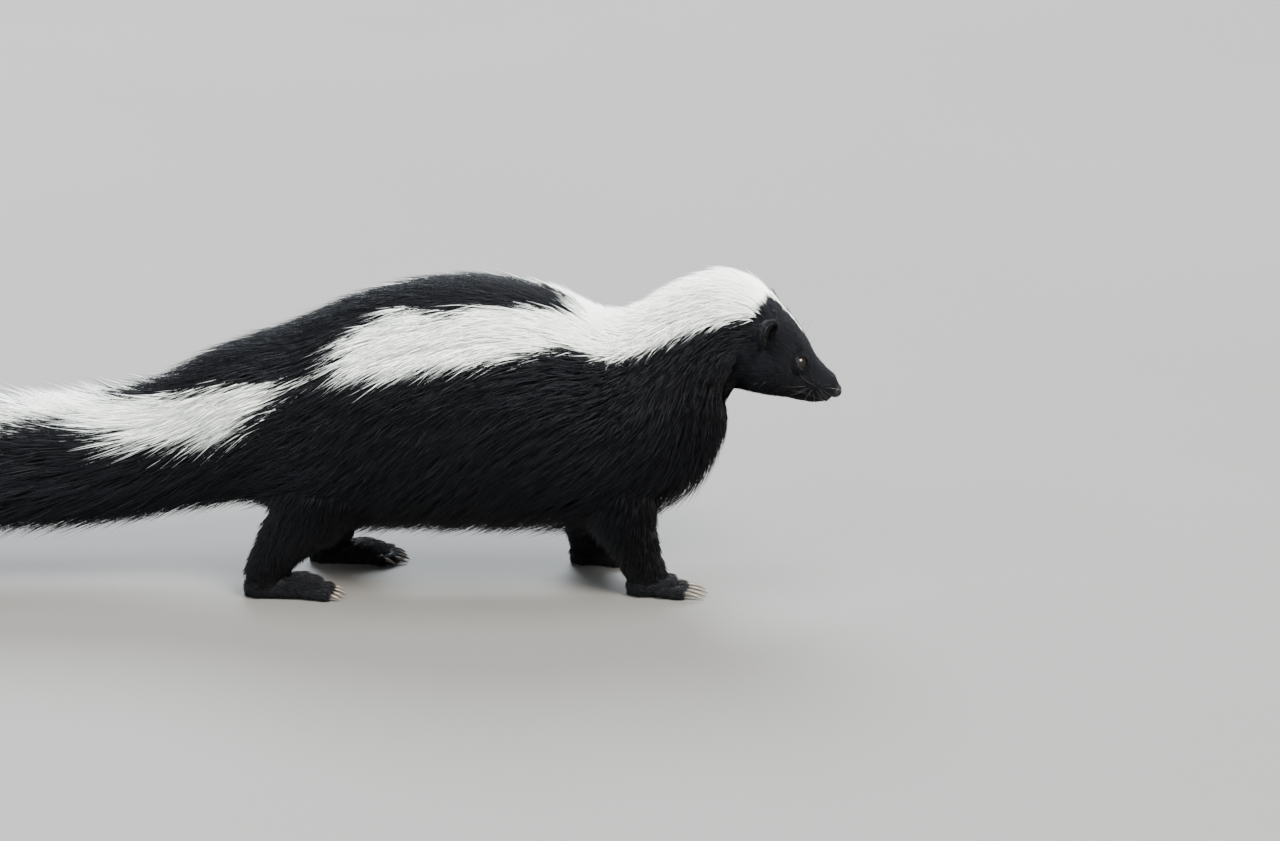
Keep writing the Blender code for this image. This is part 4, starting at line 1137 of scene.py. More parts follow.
def short_tufts(name, skin, rows, count, seed):
    """Short fur on the face, ears or legs, rooted on the skin's own faces.

    rows gives, for places of the skin, how dense the fur is, its length, stand and
    width, which way it lies, how white it is and where its root is on the unwrap.
    """
    draw = np.random.default_rng(seed)
    points, normals, faces, where = skin
    middle = points[faces].mean(1)
    area = np.linalg.norm(np.cross(points[faces[:, 1]] - points[faces[:, 0]],
                                   points[faces[:, 2]] - points[faces[:, 0]]), axis=1) / 2
    facing = normals[faces].mean(1)
    density = rows["dense"](middle, facing, where[faces[:, 0]])
    weight = np.cumsum(area * density)
    pick = np.searchsorted(weight / weight[-1], (np.arange(count) + draw.random(count)) / count)
    pick = np.clip(pick, 0, len(faces) - 1)
    r1, r2 = np.sqrt(draw.random(count)), draw.random(count)
    shares = np.stack([1 - r1, r1 * (1 - r2), r1 * r2], 1)[..., None]
    root = (points[faces[pick]] * shares).sum(1)
    up = unit((normals[faces[pick]] * shares).sum(1))
    spot = where[faces[pick, 0]]
    length, stand, width = rows["size"](root, up, spot)
    length = length * draw.uniform(0.75, 1.25, count)
    way = rows["lie"](root, up, spot) + draw.normal(0, 0.10, (count, 3))
    way = unit(way - up * (way * up).sum(1, keepdims=True))
    width = width * draw.uniform(0.75, 1.3, count)
    stand = stand * draw.uniform(0.75, 1.2, count) * length
    bend = 0.45 * stand + np.minimum(0.25 * stand, 0.6 * width)
    spine = np.stack([root + way * (length * t)[:, None] + up * rise[:, None]
                      for t, rise in ((0.0, -0.10 * stand), (0.5, bend), (1.0, stand))], 1)
    spine[..., 2] = np.maximum(spine[..., 2], SOLE_CUT + FUR_OVER_FLOOR)
    white, tone = tuft_looks(draw, rows["white"](root, spot), root, 0.25, 0.012, 9)
    return tuft_mesh(name, [(slivers(spine, up, width), white, tone, rows["patch"](root, spot))])


def skin_arrays(obj, places):
    """A skin's points, normals, triangles and places in the table's frame."""
    points = points_of(obj)
    normals = np.empty(len(points) * 3, np.float32)
    obj.data.vertex_normals.foreach_get("vector", normals)
    obj.data.calc_loop_triangles()
    faces = np.empty(len(obj.data.loop_triangles) * 3, np.int32)
    obj.data.loop_triangles.foreach_get("vertices", faces)
    return points, normals.reshape(-1, 3).astype(float), faces.reshape(-1, 3), places.of(points)


def head_rows(start, end):
    """How the head's short fur grows between two distances along the spine: back
    from the nose, parting round the eyes."""
    tip, forward, upward = nose_frame()
    eyes = [np.array(eye_spot(side)[0]) for side in (1, -1)]
    ears = [np.array(ear_axes(side)[0]) for side in (1, -1)]
    mouth = [np.array(here) for here, *_ in mouth_path()[::2]]

    def gap(points, spots):
        return np.min([np.linalg.norm(points - spot, axis=1) for spot in spots], axis=0)

    def dense(points, normals, where):
        local = (points - np.array(tip)) @ np.array([forward, forward.cross(upward), upward]).T
        nose = np.linalg.norm(local / NOSE_SIZE, axis=1)
        low = np.clip((np.abs(where[:, 2]) - 100) / 40, 0, 1)
        first = start - 0.014 * low * (start < HEAD_FUR)
        found = ((where[:, 0] == 0) & (where[:, 1] > first) & (where[:, 1] <= end)).astype(float)
        found *= read(HEAD_DENSE, where[:, 1])
        found *= (gap(points, eyes) > EYE_RADIUS + 0.0007) * (nose > 1.06)
        found *= np.clip((gap(points, mouth) - 0.0009) / 0.0006, 0, 1)
        for side in (1, -1):
            wide, tall, deep = ear_local(points, side)
            found *= ~((np.hypot(wide / 0.0082, tall / 0.0094) < 1) & (deep > -0.0025) & (deep < 0.004))
        return found

    def size(points, normals, where):
        length = read(TUFT_RUN, where[:, 1])
        top = np.clip(1 - np.abs(where[:, 2]) / 70, 0, 1)
        low = np.clip((np.abs(where[:, 2]) - 100) / 60, 0, 1)
        ruff = throat(where[:, 1], where[:, 2])
        length = length * (1.0 + 0.25 * top * (where[:, 1] < 0.69) + 0.35 * low + 0.25 * ruff)
        length *= np.interp(gap(points, eyes), (0.006, 0.012), (0.45, 1.0))
        length *= np.interp(gap(points, mouth), (0.0010, 0.005), (0.35, 1.0))
        length *= np.interp(gap(points, ears), (0.011, 0.016), (0.50, 1.0))
        return length, read(HEAD_STAND, where[:, 1]) + 0.08 * low, read(HEAD_WIDE, where[:, 1])

    def lie(points, normals, where):
        distance, angle = where[:, 1], where[:, 2]
        back = unit(body_points(distance - 0.003, angle, 0.0) - body_points(distance + 0.003, angle, 0.0))
        around = unit(body_points(distance, angle + np.sign(angle) * 2, 0.0)
                      - body_points(distance, angle, 0.0))
        way = back + around * 0.22 * (1 - throat(distance, angle)[:, None])
        for eye in eyes:
            away = points - eye
            far = np.linalg.norm(away, axis=1, keepdims=True)
            way = way + unit(away) * hill(far, 0.005, 0.004) * 0.7
        return way

    def patch(points, where):
        along = (where[:, 1] - start) / (min(end, ALONG[-1]) - start)
        return on_unwrap(np.clip(along, 0, 1), (where[:, 2] + 180.0) / 360.0)

    return {"dense": dense, "size": size, "lie": lie, "patch": patch,
            "white": lambda points, where: white_share(where[:, 1], where[:, 2], points)}


def all_black(points, where):
    """No white at any of the points."""
    return np.zeros(len(points))


def ear_rows():
    """Short fur over the backs and rims of the ears, thin inside the cups."""
    def dense(points, normals, where):
        found = np.zeros(len(points))
        for side in (1, -1):
            wide, tall, deep = ear_local(points, side)
            reach = np.hypot(wide / EAR_SIZE[0], tall / EAR_SIZE[1])
            near = (reach < 1.25) & (np.abs(deep) < 0.007)
            inner = (reach < 0.84) & (normals @ np.array(ear_axes(side)[2]) > 0.2)
            found = np.maximum(found, near * np.where(inner, 0.10, 1.0))
        return found

    def size(points, normals, where):
        return (np.full(len(points), value) for value in EAR_FUR)

    def lie(points, normals, where):
        ways = []
        for side in (1, -1):
            _, stand, face, across = (np.array(v) for v in ear_axes(side))
            wide, _, _ = ear_local(points, side)
            ways.append(stand * 0.8 - face * 0.35 + (wide / EAR_SIZE[0])[:, None] * across * 0.6)
        return np.where(points[:, 1:2] > 0, *ways)

    def patch(points, where):
        along, up = (np.clip((points[:, k] - 0.15) / 0.06, 0, 1) for k in (0, 2))
        return on_half(along, up, points[:, 1] <= 0)

    return {"dense": dense, "size": size, "lie": lie, "patch": patch, "white": all_black}


def leg_rows(kind):
    """Fur down the limbs and forward over the paws, shortest on the toes."""
    wanted = (1, 2) if kind == "fore" else (3, 4)

    def dense(points, normals, where):
        found = np.isin(where[:, 0], wanted).astype(float)
        sole = (points[:, 2] < 0.0040) & (normals[:, 2] < -0.55)
        found *= np.where(sole, 0.0, 1.0) * read(LEG_DENSE, points[:, 2])
        for side in ("left", "right"):
            for _, end, ahead in toe_frames(kind, side):
                away = points - np.array(end)
                found *= ~((np.linalg.norm(away, axis=1) < 0.0024) & (normals @ np.array(ahead) > 0.5))
        return found

    def size(points, normals, where):
        return (read(table, points[:, 2]) for table in (LEG_LONG, LEG_STAND, LEG_WIDE))

    def lie(points, normals, where):
        down, back = (read(table, points[:, 2]) for table in (LEG_DOWN, LEG_BACK))
        return np.stack([(1 - down) - back * down, np.zeros(len(points)), -down], 1)

    def patch(points, where):
        return on_half(where[:, 1], where[:, 2] % 360 / 360, where[:, 0] == wanted[1])

    return {"dense": dense, "size": size, "lie": lie, "patch": patch, "white": all_black}


# Eyes, nose, claws and whiskers

def nose_frame():
    """Middle of the nose, and its ways forward and up."""
    x, z, pitch = SECTIONS[-1, :3]
    forward, upward = (Vector(way) for way in axis_and_rise(pitch))
    return Vector((x, 0, z)) + forward * 0.0002 + upward * 0.0012, forward, upward


def nose_pad(name):
    """The bare nose: two comma nostrils, a groove between them and a soft rim."""
    centre, forward, upward = nose_frame()
    across = Vector((0, 1, 0))
    deep, wide, tall = NOSE_SIZE
    obj = ball(name, centre, (upward, forward, across), (tall, deep, wide), 96, 64)
    points = points_of(obj)
    local = points - np.array(centre)
    ahead, aside, up = (local @ np.array(way) for way in (forward, across, upward))
    aside = np.abs(aside)
    hole = hill(aside, 0.0029, 0.0011) * hill(up, -0.0002, 0.0012)
    slit = hill(aside, 0.0043, 0.0013) * hill(up, 0.0004 + 0.35 * (aside - 0.003), 0.00045)
    rim = hill(np.hypot((aside - 0.0030) / 1.1, up + 0.0002), 0.0020, 0.0006)
    groove = hill(aside, 0, 0.00035) * (up < 0.0022)
    depth = (np.clip(ahead / 0.002, 0, 1) * (0.0020 * hole - 0.00035 * rim + 0.00035 * groove)
             + np.clip(ahead / 0.001, 0, 1) * 0.0008 * slit)
    move_points(obj, points - unit(local) * depth[:, None])
    return obj


def eyeball(name, side):
    """An eyeball with a slightly raised clear front, and how far each point of it
    is from the gaze, for its pupil and iris."""
    centre, forward, upward, outward = eye_spot(side)
    gaze = (outward + forward * 0.25).normalized()
    third = gaze.cross(upward).normalized()
    obj = ball(name, centre, (gaze, third, gaze.cross(third).normalized()), (EYE_RADIUS,) * 3, 48, 40)
    local = points_of(obj) - np.array(centre)
    turn = np.degrees(np.arccos(np.clip(unit(local) @ np.array(gaze), -1, 1)))
    local *= (1 + 0.03 * np.exp(-(turn / 34) ** 4))[:, None]
    move_points(obj, local + np.array(centre))
    give(obj, "gaze", turn / 55.0)
    return obj


def claw_set(name, kind, side):
    """The five curved claws of a foot, joined."""
    length, sides, count = CLAW_LENGTH[kind], 10, 9
    around = np.linspace(0, 2 * math.pi, sides, endpoint=False)
    points, faces, along = [], [], []
    for n, (_, end, ahead) in enumerate(toe_frames(kind, side)):
        across, rise = crosswise(ahead)
        start = end - ahead * CLAW_ROOT
        rings = []
        for t in np.linspace(0, 0.97, count):
            size = 0.0018 * (1 - t**1.7) ** 0.8 + 0.00012
            arch = math.sin(math.pi * t) * length * 0.075
            here = start + ahead * (length + CLAW_ROOT) * t + rise * (arch - CLAW_DROOP * t * t)
            low = np.where(np.sin(around) < 0, 0.75, 1.0)
            rings.append(np.array(here) + np.outer(np.cos(around) * size * 0.70, across)
                         + np.outer(np.sin(around) * size * low, rise))
        middles = [ring.mean(0) for ring in rings]
        tip = middles[-1] + (middles[-1] - middles[-2]) * 0.25
        points.append(np.concatenate([*rings, middles[:1], [tip]]))
        faces.append(closed_faces(count, sides) + n * len(points[0]))
        along.append(np.concatenate([np.repeat(np.linspace(0, 1, count), sides), [0, 1]]))
    obj = mesh_of(name, np.concatenate(points), np.concatenate(faces))
    give(obj, "along", np.concatenate(along))
    face_out(obj)
    return obj


def whisker_roots():
    """Places, directions and sizes of the whiskers on the muzzle, brows and cheeks."""
    draw = np.random.default_rng(23)
    rows = []
    for side in (1, -1):
        for row, (angle, count) in enumerate(WHISKER_ROWS):
            for i in range(count):
                d = place("muzzle_mid", 0.55) - i * 0.0026 - row * 0.0005
                here, forward, out = surface_frame(d, side * angle, 0.0)
                way = out * 0.80 + forward * (0.20 - 0.30 * i) + Vector((0, 0, -0.05 * row + 0.22))
                rows.append((here, way, 0.72 + 0.13 * i))
        for name, share, angle, size in LONE_WHISKERS:
            here, forward, out = surface_frame(place(name, share), side * angle, 0.0)
            rows.append((here, out - forward * 0.9, size))
    return [(here, (way.normalized() + Vector(draw.normal(0, 0.07, 3))).normalized(),
             size * draw.uniform(0.85, 1.15)) for here, way, size in rows]


def whisker_tree():
    """A node tree that sets one tapered, bowed bristle on each point of a mesh."""
    tree = bpy.data.node_groups.new("whiskers_on_points", "GeometryNodeTree")
    tree.is_modifier = True
    face = tree.interface
    for name, kind in (("Roots", "NodeSocketGeometry"), ("Length", "NodeSocketFloat"),
                       ("Thickness", "NodeSocketFloat"), ("Bow", "NodeSocketFloat"),
                       ("Finish", "NodeSocketMaterial")):
        face.new_socket(name, in_out="INPUT", socket_type=kind)
    face.new_socket("Whiskers", in_out="OUTPUT", socket_type="NodeSocketGeometry")

    def node(kind, settings=None, **links):
        made = tree.nodes.new(kind)
        for key, value in (settings or {}).items():
            setattr(made, key, value)
        for key, value in links.items():
            socket = next(s for s in made.inputs
                          if key in (s.identifier, s.name.replace(" ", "_")) and s.enabled)
            if isinstance(value, bpy.types.NodeSocket):
                tree.links.new(value, socket)
            else:
                socket.default_value = value
        return made

    def product(one, two):
        return node("ShaderNodeMath", {"operation": "MULTIPLY"}, Value=one, Value_001=two).outputs[0]

    given = node("NodeGroupInput").outputs
    length = given["Length"]
    tip = node("ShaderNodeCombineXYZ", X=product(length, given["Bow"]), Z=length).outputs[0]
    half = node("ShaderNodeCombineXYZ", Z=product(length, 0.55)).outputs[0]
    curve = node("GeometryNodeCurveQuadraticBezier", Resolution=9, Start=(0, 0, 0), Middle=half, End=tip)
    part = node("GeometryNodeSplineParameter").outputs["Factor"]
    taper = {"operation": "MULTIPLY_ADD"}
    thin = node("ShaderNodeMath", taper, Value=part, Value_001=-0.92, Value_002=1.0).outputs[0]
    radius = node("GeometryNodeSetCurveRadius", Curve=curve.outputs[0], Radius=thin)
    ring = node("GeometryNodeCurvePrimitiveCircle", Resolution=5, Radius=given["Thickness"])
    made = node("GeometryNodeCurveToMesh", Curve=radius.outputs[0], Profile_Curve=ring.outputs[0],
                Fill_Caps=True)
    for socket in made.inputs:
        if socket.name == "Scale":
            tree.links.new(thin, socket)
    aim = node("GeometryNodeInputNamedAttribute", {"data_type": "FLOAT_VECTOR"}, Name="aim")
    size = node("GeometryNodeInputNamedAttribute", {"data_type": "FLOAT"}, Name="size")
    turn = node("FunctionNodeAlignRotationToVector", {"axis": "Z"}, Vector=aim.outputs[0])
    scaled = node("ShaderNodeCombineXYZ", X=1.0, Y=1.0, Z=size.outputs[0]).outputs[0]
    placed = node("GeometryNodeInstanceOnPoints", Points=given["Roots"], Instance=made.outputs[0],
                  Rotation=turn.outputs[0], Scale=scaled)
    real = node("GeometryNodeRealizeInstances", Geometry=placed.outputs[0])
    smooth = node("GeometryNodeSetShadeSmooth", Geometry=real.outputs[0])
    done = node("GeometryNodeSetMaterial", Geometry=smooth.outputs[0], Material=given["Finish"])
    node("NodeGroupOutput", Whiskers=done.outputs[0])
    return tree


def hand_over(obj, material, slot, nodes=()):
    """Gives a piece its finish and its place in the frame."""
    obj.data.materials.clear()
    obj.data.materials.append(material)
    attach(obj, ROOT)
    if nodes:
        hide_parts(*nodes)


def colour(name, text, value):
    """A property for one colour of the model."""
    return bpy.props.FloatVectorProperty(name=name, description=text, subtype="COLOR", size=3,
                                         min=0.0, max=1.0, default=value)


# Properties

class SkunkSkinSettings(bpy.types.PropertyGroup):
    """Colours of the hide and of the bare skin."""

    hide: colour("Hide", "Hide under the black coat", (0.0025, 0.0025, 0.0032))
    hide_sheen: colour("Hide sheen", "Short black fur where it catches light", (0.006, 0.0064, 0.008))
    cream_hide: colour("Cream hide", "Hide under the cream coat", (0.62, 0.58, 0.50))
    bare: colour("Bare skin", "Pads, lids and the cups of the ears", (0.0055, 0.0047, 0.0046))
    bare_pale: colour("Pale bare skin", "Worn places of the bare skin", (0.014, 0.0112, 0.0105))


class SkunkCoatSettings(bpy.types.PropertyGroup):
    """Sizes and colours of the coat."""

    black: colour("Black", "Black fur", (0.0012, 0.0012, 0.0018))
    black_sheen: colour("Black sheen", "Paler black tufts", (0.0034, 0.0037, 0.0056))
    # painted sheen: paler bluish tips of the black tufts, standing in for light caught from above
    black_tip_sheen: colour("Black tip", "Tips of the black fur", (0.0046, 0.0051, 0.0075))
    cream: colour("Cream", "White fur", (0.935, 0.94, 0.855))
    # painted shade: colour of the cream tufts at the root, where shade falls among the hairs
    cream_root_shade: colour("Cream root", "White fur at its root", (0.82, 0.79, 0.68))
    cream_cool: colour("Cool cream", "White fur in its cooler tufts", (0.86, 0.90, 0.87))
    tuft_width: bpy.props.FloatProperty(
        name="Tuft width", description="Width of a body tuft",
        default=0.00088, min=0.0004, max=0.004, unit="LENGTH")
    fullness: bpy.props.FloatProperty(
        name="Fullness", description="Share of the coat's depth that its tips reach",
        default=1.0, min=0.5, max=1.1, subtype="FACTOR")
    clumping: bpy.props.FloatProperty(
        name="Clumping", description="How far tufts lean together into locks",
        default=0.5, min=0.0, max=1.0, subtype="FACTOR")


class SkunkFaceSettings(bpy.types.PropertyGroup):
    """Sizes and colours of eyes, nose, whiskers and claws."""

    pupil: colour("Pupil", "Pupil of the eye", (0.002, 0.002, 0.002))
    iris: colour("Iris", "Iris of the eye", (0.0046, 0.0024, 0.0015))
    iris_edge: colour("Iris edge", "Paler threads of the iris", (0.0100, 0.0052, 0.0030))
    eye_rim: colour("Eye rim", "Dark edge of the iris and what is beyond it", (0.010, 0.008, 0.007))
    leather: colour("Nose", "Nose leather", (0.0022, 0.0020, 0.0022))
    leather_pale: colour("Pale nose", "Worn places of the nose leather", (0.0085, 0.0072, 0.0070))
    horn_root: colour("Claw root", "Claws at their roots", (0.026, 0.020, 0.015))
    horn_tip: colour("Claw tip", "Claws at their tips", (0.150, 0.124, 0.092))
    whisker: colour("Whisker", "Whiskers", (0.010, 0.010, 0.010))
    whisker_pale: colour("Pale whisker", "Paler lengths of the whiskers", (0.045, 0.042, 0.040))
    whisker_length: bpy.props.FloatProperty(
        name="Whisker length", description="Length of a middling whisker",
        default=0.030, min=0.005, max=0.08, unit="LENGTH")
    whisker_thickness: bpy.props.FloatProperty(
        name="Whisker thickness", description="Radius of a whisker at its root",
        default=0.00016, min=0.00005, max=0.0006, unit="LENGTH")
    whisker_bow: bpy.props.FloatProperty(
        name="Whisker bow", description="How far a whisker bends aside, as a share of its length",
        default=0.16, min=0.0, max=1.0, subtype="FACTOR")


class SkunkStudioSettings(bpy.types.PropertyGroup):
    """Floor, light and camera."""

    floor: colour("Floor", "Studio floor", (0.100, 0.095, 0.087))
    floor_shade: colour("Floor shade", "Faint unevenness of the floor", (0.093, 0.088, 0.081))
    sky: colour("Surround", "Soft light from all round", (0.80, 0.83, 0.88))
    surround: bpy.props.FloatProperty(
        name="Surround strength", description="Strength of the light from all round",
        default=1.00, min=0.0, max=3.0)
    key: bpy.props.FloatProperty(
        name="Key light", description="Strength of the main soft light, in watts per square metre",
        default=13.5, min=0.0)
    height: bpy.props.FloatProperty(
        name="Camera height", description="Angle of the camera above the floor",
        default=math.radians(18.0), subtype="ANGLE")
    distance: bpy.props.FloatProperty(
        name="Camera distance", description="From the camera to what it looks at",
        default=4.5, min=0.5, unit="LENGTH")
    width: bpy.props.FloatProperty(
        name="View width", description="Width of the picture at what it looks at",
        default=0.8576, min=0.1, unit="LENGTH")


# Operators

# What one operator leaves for the next: the skin's arrays and the fur's material.
STATE = {}


class SKUNK_OT_skin(bpy.types.Operator):
    """Build the skin of body, head, ears, legs and feet in one piece"""

    bl_idname = "skunk.skin"
    bl_label = "Skin"

    def execute(self, context):
        obj = trunk_skin()
        tip, ahead, upward = nose_frame()
        muzzle = ball("muzzle", tip - ahead * MUZZLE_BACK, (upward, ahead, Vector((0, 1, 0))),
                      MUZZLE_SIZE, 32, 20)
        legs = [foot_and_leg(kind, side) for kind, side in LEGS]
        ears = ear_cup("ear_cup_left", 1) + ear_cup("ear_cup_right", -1)
        lids = [lid_ring("lids_left", 1), lid_ring("lids_right", -1)]
        fuse(obj, legs + ears + lids + [muzzle, mouth_line(0.0010, 0.0007, -0.0013)])
        sockets = []
        for side in (1, -1):
            centre, forward, upward, outward = eye_spot(side)
            sockets.append(ball("socket", centre, (outward, forward, upward),
                                (EYE_RADIUS + EYE_GAP,) * 3, 40, 28))
        fuse(obj, sockets + [mouth_line(0.00045, 0.0014, 0.0)], "DIFFERENCE")
        obj.name = obj.data.name = "skunk_skin"
        obj.data.polygons.foreach_set("use_smooth", np.ones(len(obj.data.polygons), bool))
        for layer in list(obj.data.uv_layers):
            obj.data.uv_layers.remove(layer)
        points, normals, _, where = STATE["skin"] = skin_arrays(obj, Places())
        white, bare = skin_marks(points, normals, where)
        give(obj, "white", white)
        give(obj, "bare", bare)
        nodes = ["torso", "neck", "head", "tail", "ear_left", "ear_right"]
        nodes += [f"leg_{kind}_{side}" for kind, side in LEGS]
        hand_over(obj, skin_material(context.scene.skunk_skin), "torso_coat", nodes)
        return {"FINISHED"}


# Pieces of the long coat: where each starts and ends along the spine, how many
# tufts it has, and its finish in the record.
TRUNK = (
    ("coat_tail_end", 0.012, 0.140, 14000, "tail_coat"),
    ("coat_tail_middle", 0.140, 0.228, 14700, "tail_coat"),
    ("coat_tail_root", 0.228, 0.313, 16200, "tail_coat"),
    ("coat_rump", 0.313, 0.385, 17700, "torso_coat"),
    ("coat_loin", 0.385, 0.455, 19200, "torso_coat"),
    ("coat_ribs", 0.455, 0.530, 19200, "torso_coat"),
    ("coat_shoulders", 0.530, 0.605, 18400, "torso_coat"),
    ("coat_neck", 0.605, 0.674, 16200, "neck_coat"),
)


class SKUNK_OT_long_coat(bpy.types.Operator):
    """Lay the long tufts of tail, torso and neck"""

    bl_idname = "skunk.long_coat"
    bl_label = "Long coat"

    def execute(self, context):
        settings = context.scene.skunk_coat
        finish = fur_material(settings)
        STATE["fur"] = finish
        for n, (name, start, end, count, slot) in enumerate(TRUNK):
            hand_over(trunk_tufts(name, start, end, count, n + 1, settings), finish, slot)
        return {"FINISHED"}


class SKUNK_OT_short_coat(bpy.types.Operator):
    """Lay the short fur of face, ears, legs and feet"""

    bl_idname = "skunk.short_coat"
    bl_label = "Short coat"

    def execute(self, context):
        if "skin" not in STATE or "fur" not in STATE:
            raise RuntimeError("the skin and the long coat come before the short coat")
        skin, finish = STATE["skin"], STATE["fur"]
        for n, (name, rows, count, slot) in enumerate((
                ("coat_head", head_rows(HEAD_FUR, FACE_FUR), 26000, "head_coat"),
                ("coat_face", head_rows(FACE_FUR, 1.0), 27000, "head_coat"),
                ("coat_ears", ear_rows(), 6000, "ear_fur"),
                ("coat_forelegs", leg_rows("fore"), 20000, "leg_fur"),
                ("coat_hind_legs", leg_rows("hind"), 24700, "leg_fur"))):
            hand_over(short_tufts(name, skin, rows, count, 31 + n), finish, slot)
        return {"FINISHED"}


class SKUNK_OT_eyes(bpy.types.Operator):
    """Set both eyeballs in their lids"""

    bl_idname = "skunk.eyes"
    bl_label = "Eyes"

    def execute(self, context):
        for name, side in (("left", 1), ("right", -1)):
            hand_over(eyeball("eyeball_" + name, side), eye_material(context.scene.skunk_face, name),
                      "eye_ball", ["eye_" + name])
        return {"FINISHED"}


class SKUNK_OT_nose(bpy.types.Operator):
    """Shape the nose pad"""

    bl_idname = "skunk.nose"
    bl_label = "Nose"

    def execute(self, context):
        leather = leather_material(context.scene.skunk_face)
        hand_over(nose_pad("nose_pad"), leather, "nose_leather", ["nose"])
        return {"FINISHED"}


class SKUNK_OT_claws(bpy.types.Operator):
    """Shape the claws of all four feet"""

    bl_idname = "skunk.claws"
    bl_label = "Claws"

    def execute(self, context):
        finish = horn_material(context.scene.skunk_face)
        for kind, side in LEGS:
            nodes = [f"claw_{kind}_{side}_{n}" for n in range(1, 6)]
            hand_over(claw_set(f"claws_{kind}_{side}", kind, side), finish, "claw_horn", nodes)
        return {"FINISHED"}


class SKUNK_OT_whiskers(bpy.types.Operator):
    """Set the whiskers on muzzle, brows and cheeks"""

    bl_idname = "skunk.whiskers"
    bl_label = "Whiskers"

    def execute(self, context):
        settings = context.scene.skunk_face
        rows = whisker_roots()
        mesh = bpy.data.meshes.new("whiskers")
        mesh.from_pydata([here + SHIFT for here, _, _ in rows], [], [])
        mesh.attributes.new("aim", "FLOAT_VECTOR", "POINT").data.foreach_set(
            "vector", np.array([way for _, way, _ in rows], np.float32).ravel())
        mesh.attributes.new("size", "FLOAT", "POINT").data.foreach_set(
            "value", np.array([size for _, _, size in rows], np.float32))
        obj = bpy.data.objects.new("whiskers", mesh)
        context.scene.collection.objects.link(obj)
        tree = whisker_tree()
        step = obj.modifiers.new("whiskers", "NODES")
        step.node_group = tree
        finish = whisker_material(settings)
        values = {"Length": settings.whisker_length, "Thickness": settings.whisker_thickness,
                  "Bow": settings.whisker_bow, "Finish": finish}
        for item in tree.interface.items_tree:
            if item.in_out == "INPUT" and item.name in values:
                step[item.identifier] = values[item.name]
        settle(obj)
        if not len(obj.data.polygons):
            raise RuntimeError("the whiskers came out empty")
        hand_over(obj, finish, "head_coat")
        return {"FINISHED"}


# Half the floor's length, what the camera looks at, and its sensor's width in mm.
FLOOR_HALF = 9.0
VIEW_CENTRE = (0.1072, 0.0330, 0.1016)
SENSOR_WIDTH = 36.0
WARM, COOL = (1.0, 0.98, 0.93), (0.86, 0.93, 1.0)
# Where each light comes from, how wide it is in degrees, its share of the key
# light's strength, and its tint.
LIGHTS = (
    ("key_light", (1.1, -1.3, 1.9), 26, 1.0, WARM), ("fill_light", (-1.9, -1.2, 1.2), 39, 0.35, COOL),
    ("rim_light", (-0.3, 1.9, 1.7), 33, 0.65, COOL), ("top_light", (0.1, 0.1, 2.4), 33, 0.42, COOL),
)


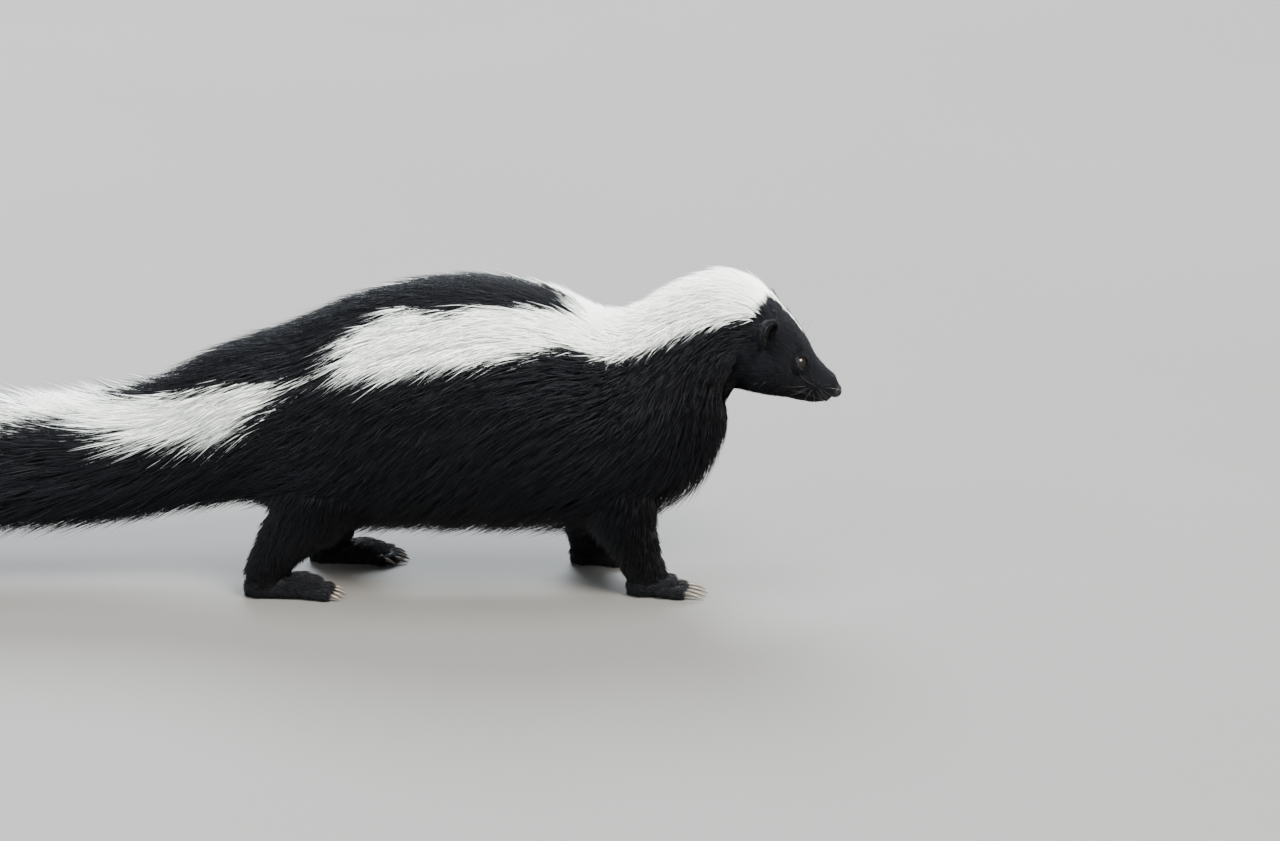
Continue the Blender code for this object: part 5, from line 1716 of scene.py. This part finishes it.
class SKUNK_OT_studio(bpy.types.Operator):
    """Set the pale floor, the soft lights and the camera"""

    bl_idname = "skunk.studio"
    bl_label = "Studio"

    def execute(self, context):
        settings = context.scene.skunk_studio
        mesh = bpy.data.meshes.new("studio_floor")
        corners = [(x * FLOOR_HALF, y * FLOOR_HALF, 0) for x, y in ((-1, -1), (1, -1), (1, 1), (-1, 1))]
        mesh.from_pydata(corners, [], [(0, 1, 2, 3)])
        floor = bpy.data.objects.new("studio_floor", mesh)
        context.scene.collection.objects.link(floor)
        mesh.materials.append(floor_material(settings))
        world = bpy.data.worlds.new("studio_surround")
        world.use_nodes = True
        ground = world.node_tree.nodes["Background"]
        ground.inputs["Color"].default_value = (*settings.sky, 1.0)
        ground.inputs["Strength"].default_value = settings.surround
        context.scene.world = world
        target = Vector(VIEW_CENTRE) + SHIFT
        for name, where, wide, power, tint in LIGHTS:
            light = bpy.data.lights.new(name, "SUN")
            light.angle = math.radians(wide)
            light.energy = settings.key * power
            light.color = tint
            obj = bpy.data.objects.new(name, light)
            context.scene.collection.objects.link(obj)
            obj.location = target + Vector(where)
            obj.rotation_euler = (-Vector(where)).to_track_quat("-Z", "Y").to_euler()
        camera = bpy.data.cameras.new("camera")
        camera.sensor_width = SENSOR_WIDTH
        camera.lens = SENSOR_WIDTH * settings.distance / settings.width
        camera.clip_start, camera.clip_end = 0.05, 60.0
        obj = bpy.data.objects.new("camera", camera)
        context.scene.collection.objects.link(obj)
        back = Vector((0, -math.cos(settings.height), math.sin(settings.height)))
        obj.location = target + back * settings.distance
        obj.rotation_euler = (-back).to_track_quat("-Z", "Y").to_euler()
        context.scene.camera = obj
        return {"FINISHED"}


STEPS = (SKUNK_OT_skin, SKUNK_OT_long_coat, SKUNK_OT_short_coat, SKUNK_OT_eyes, SKUNK_OT_nose,
         SKUNK_OT_claws, SKUNK_OT_whiskers, SKUNK_OT_studio)
SETTINGS = {"skunk_skin": SkunkSkinSettings, "skunk_coat": SkunkCoatSettings,
            "skunk_face": SkunkFaceSettings, "skunk_studio": SkunkStudioSettings}


class SKUNK_PT_panel(bpy.types.Panel):
    """The skunk's pieces and their sizes and colours"""

    bl_idname = "SKUNK_PT_panel"
    bl_label = "Striped skunk"
    bl_space_type = "VIEW_3D"
    bl_region_type = "UI"
    bl_category = "Skunk"

    def draw(self, context):
        for step in STEPS:
            self.layout.operator(step.bl_idname)
        for name in SETTINGS:
            group = getattr(context.scene, name)
            box = self.layout.box()
            box.label(text=group.bl_rna.description)
            for key in group.bl_rna.properties.keys():
                if key not in ("rna_type", "name"):
                    box.prop(group, key)


def register():
    for kind in (*SETTINGS.values(), *STEPS, SKUNK_PT_panel):
        bpy.utils.register_class(kind)
    for name, kind in SETTINGS.items():
        setattr(bpy.types.Scene, name, bpy.props.PointerProperty(type=kind))


def unregister():
    for name in SETTINGS:
        delattr(bpy.types.Scene, name)
    for kind in reversed((*SETTINGS.values(), *STEPS, SKUNK_PT_panel)):
        bpy.utils.unregister_class(kind)


def main():
    """Builds every piece in order."""
    register()
    for step in STEPS:
        group, name = step.bl_idname.split(".")
        getattr(getattr(bpy.ops, group), name)()


if __name__ == "__main__":
    main()
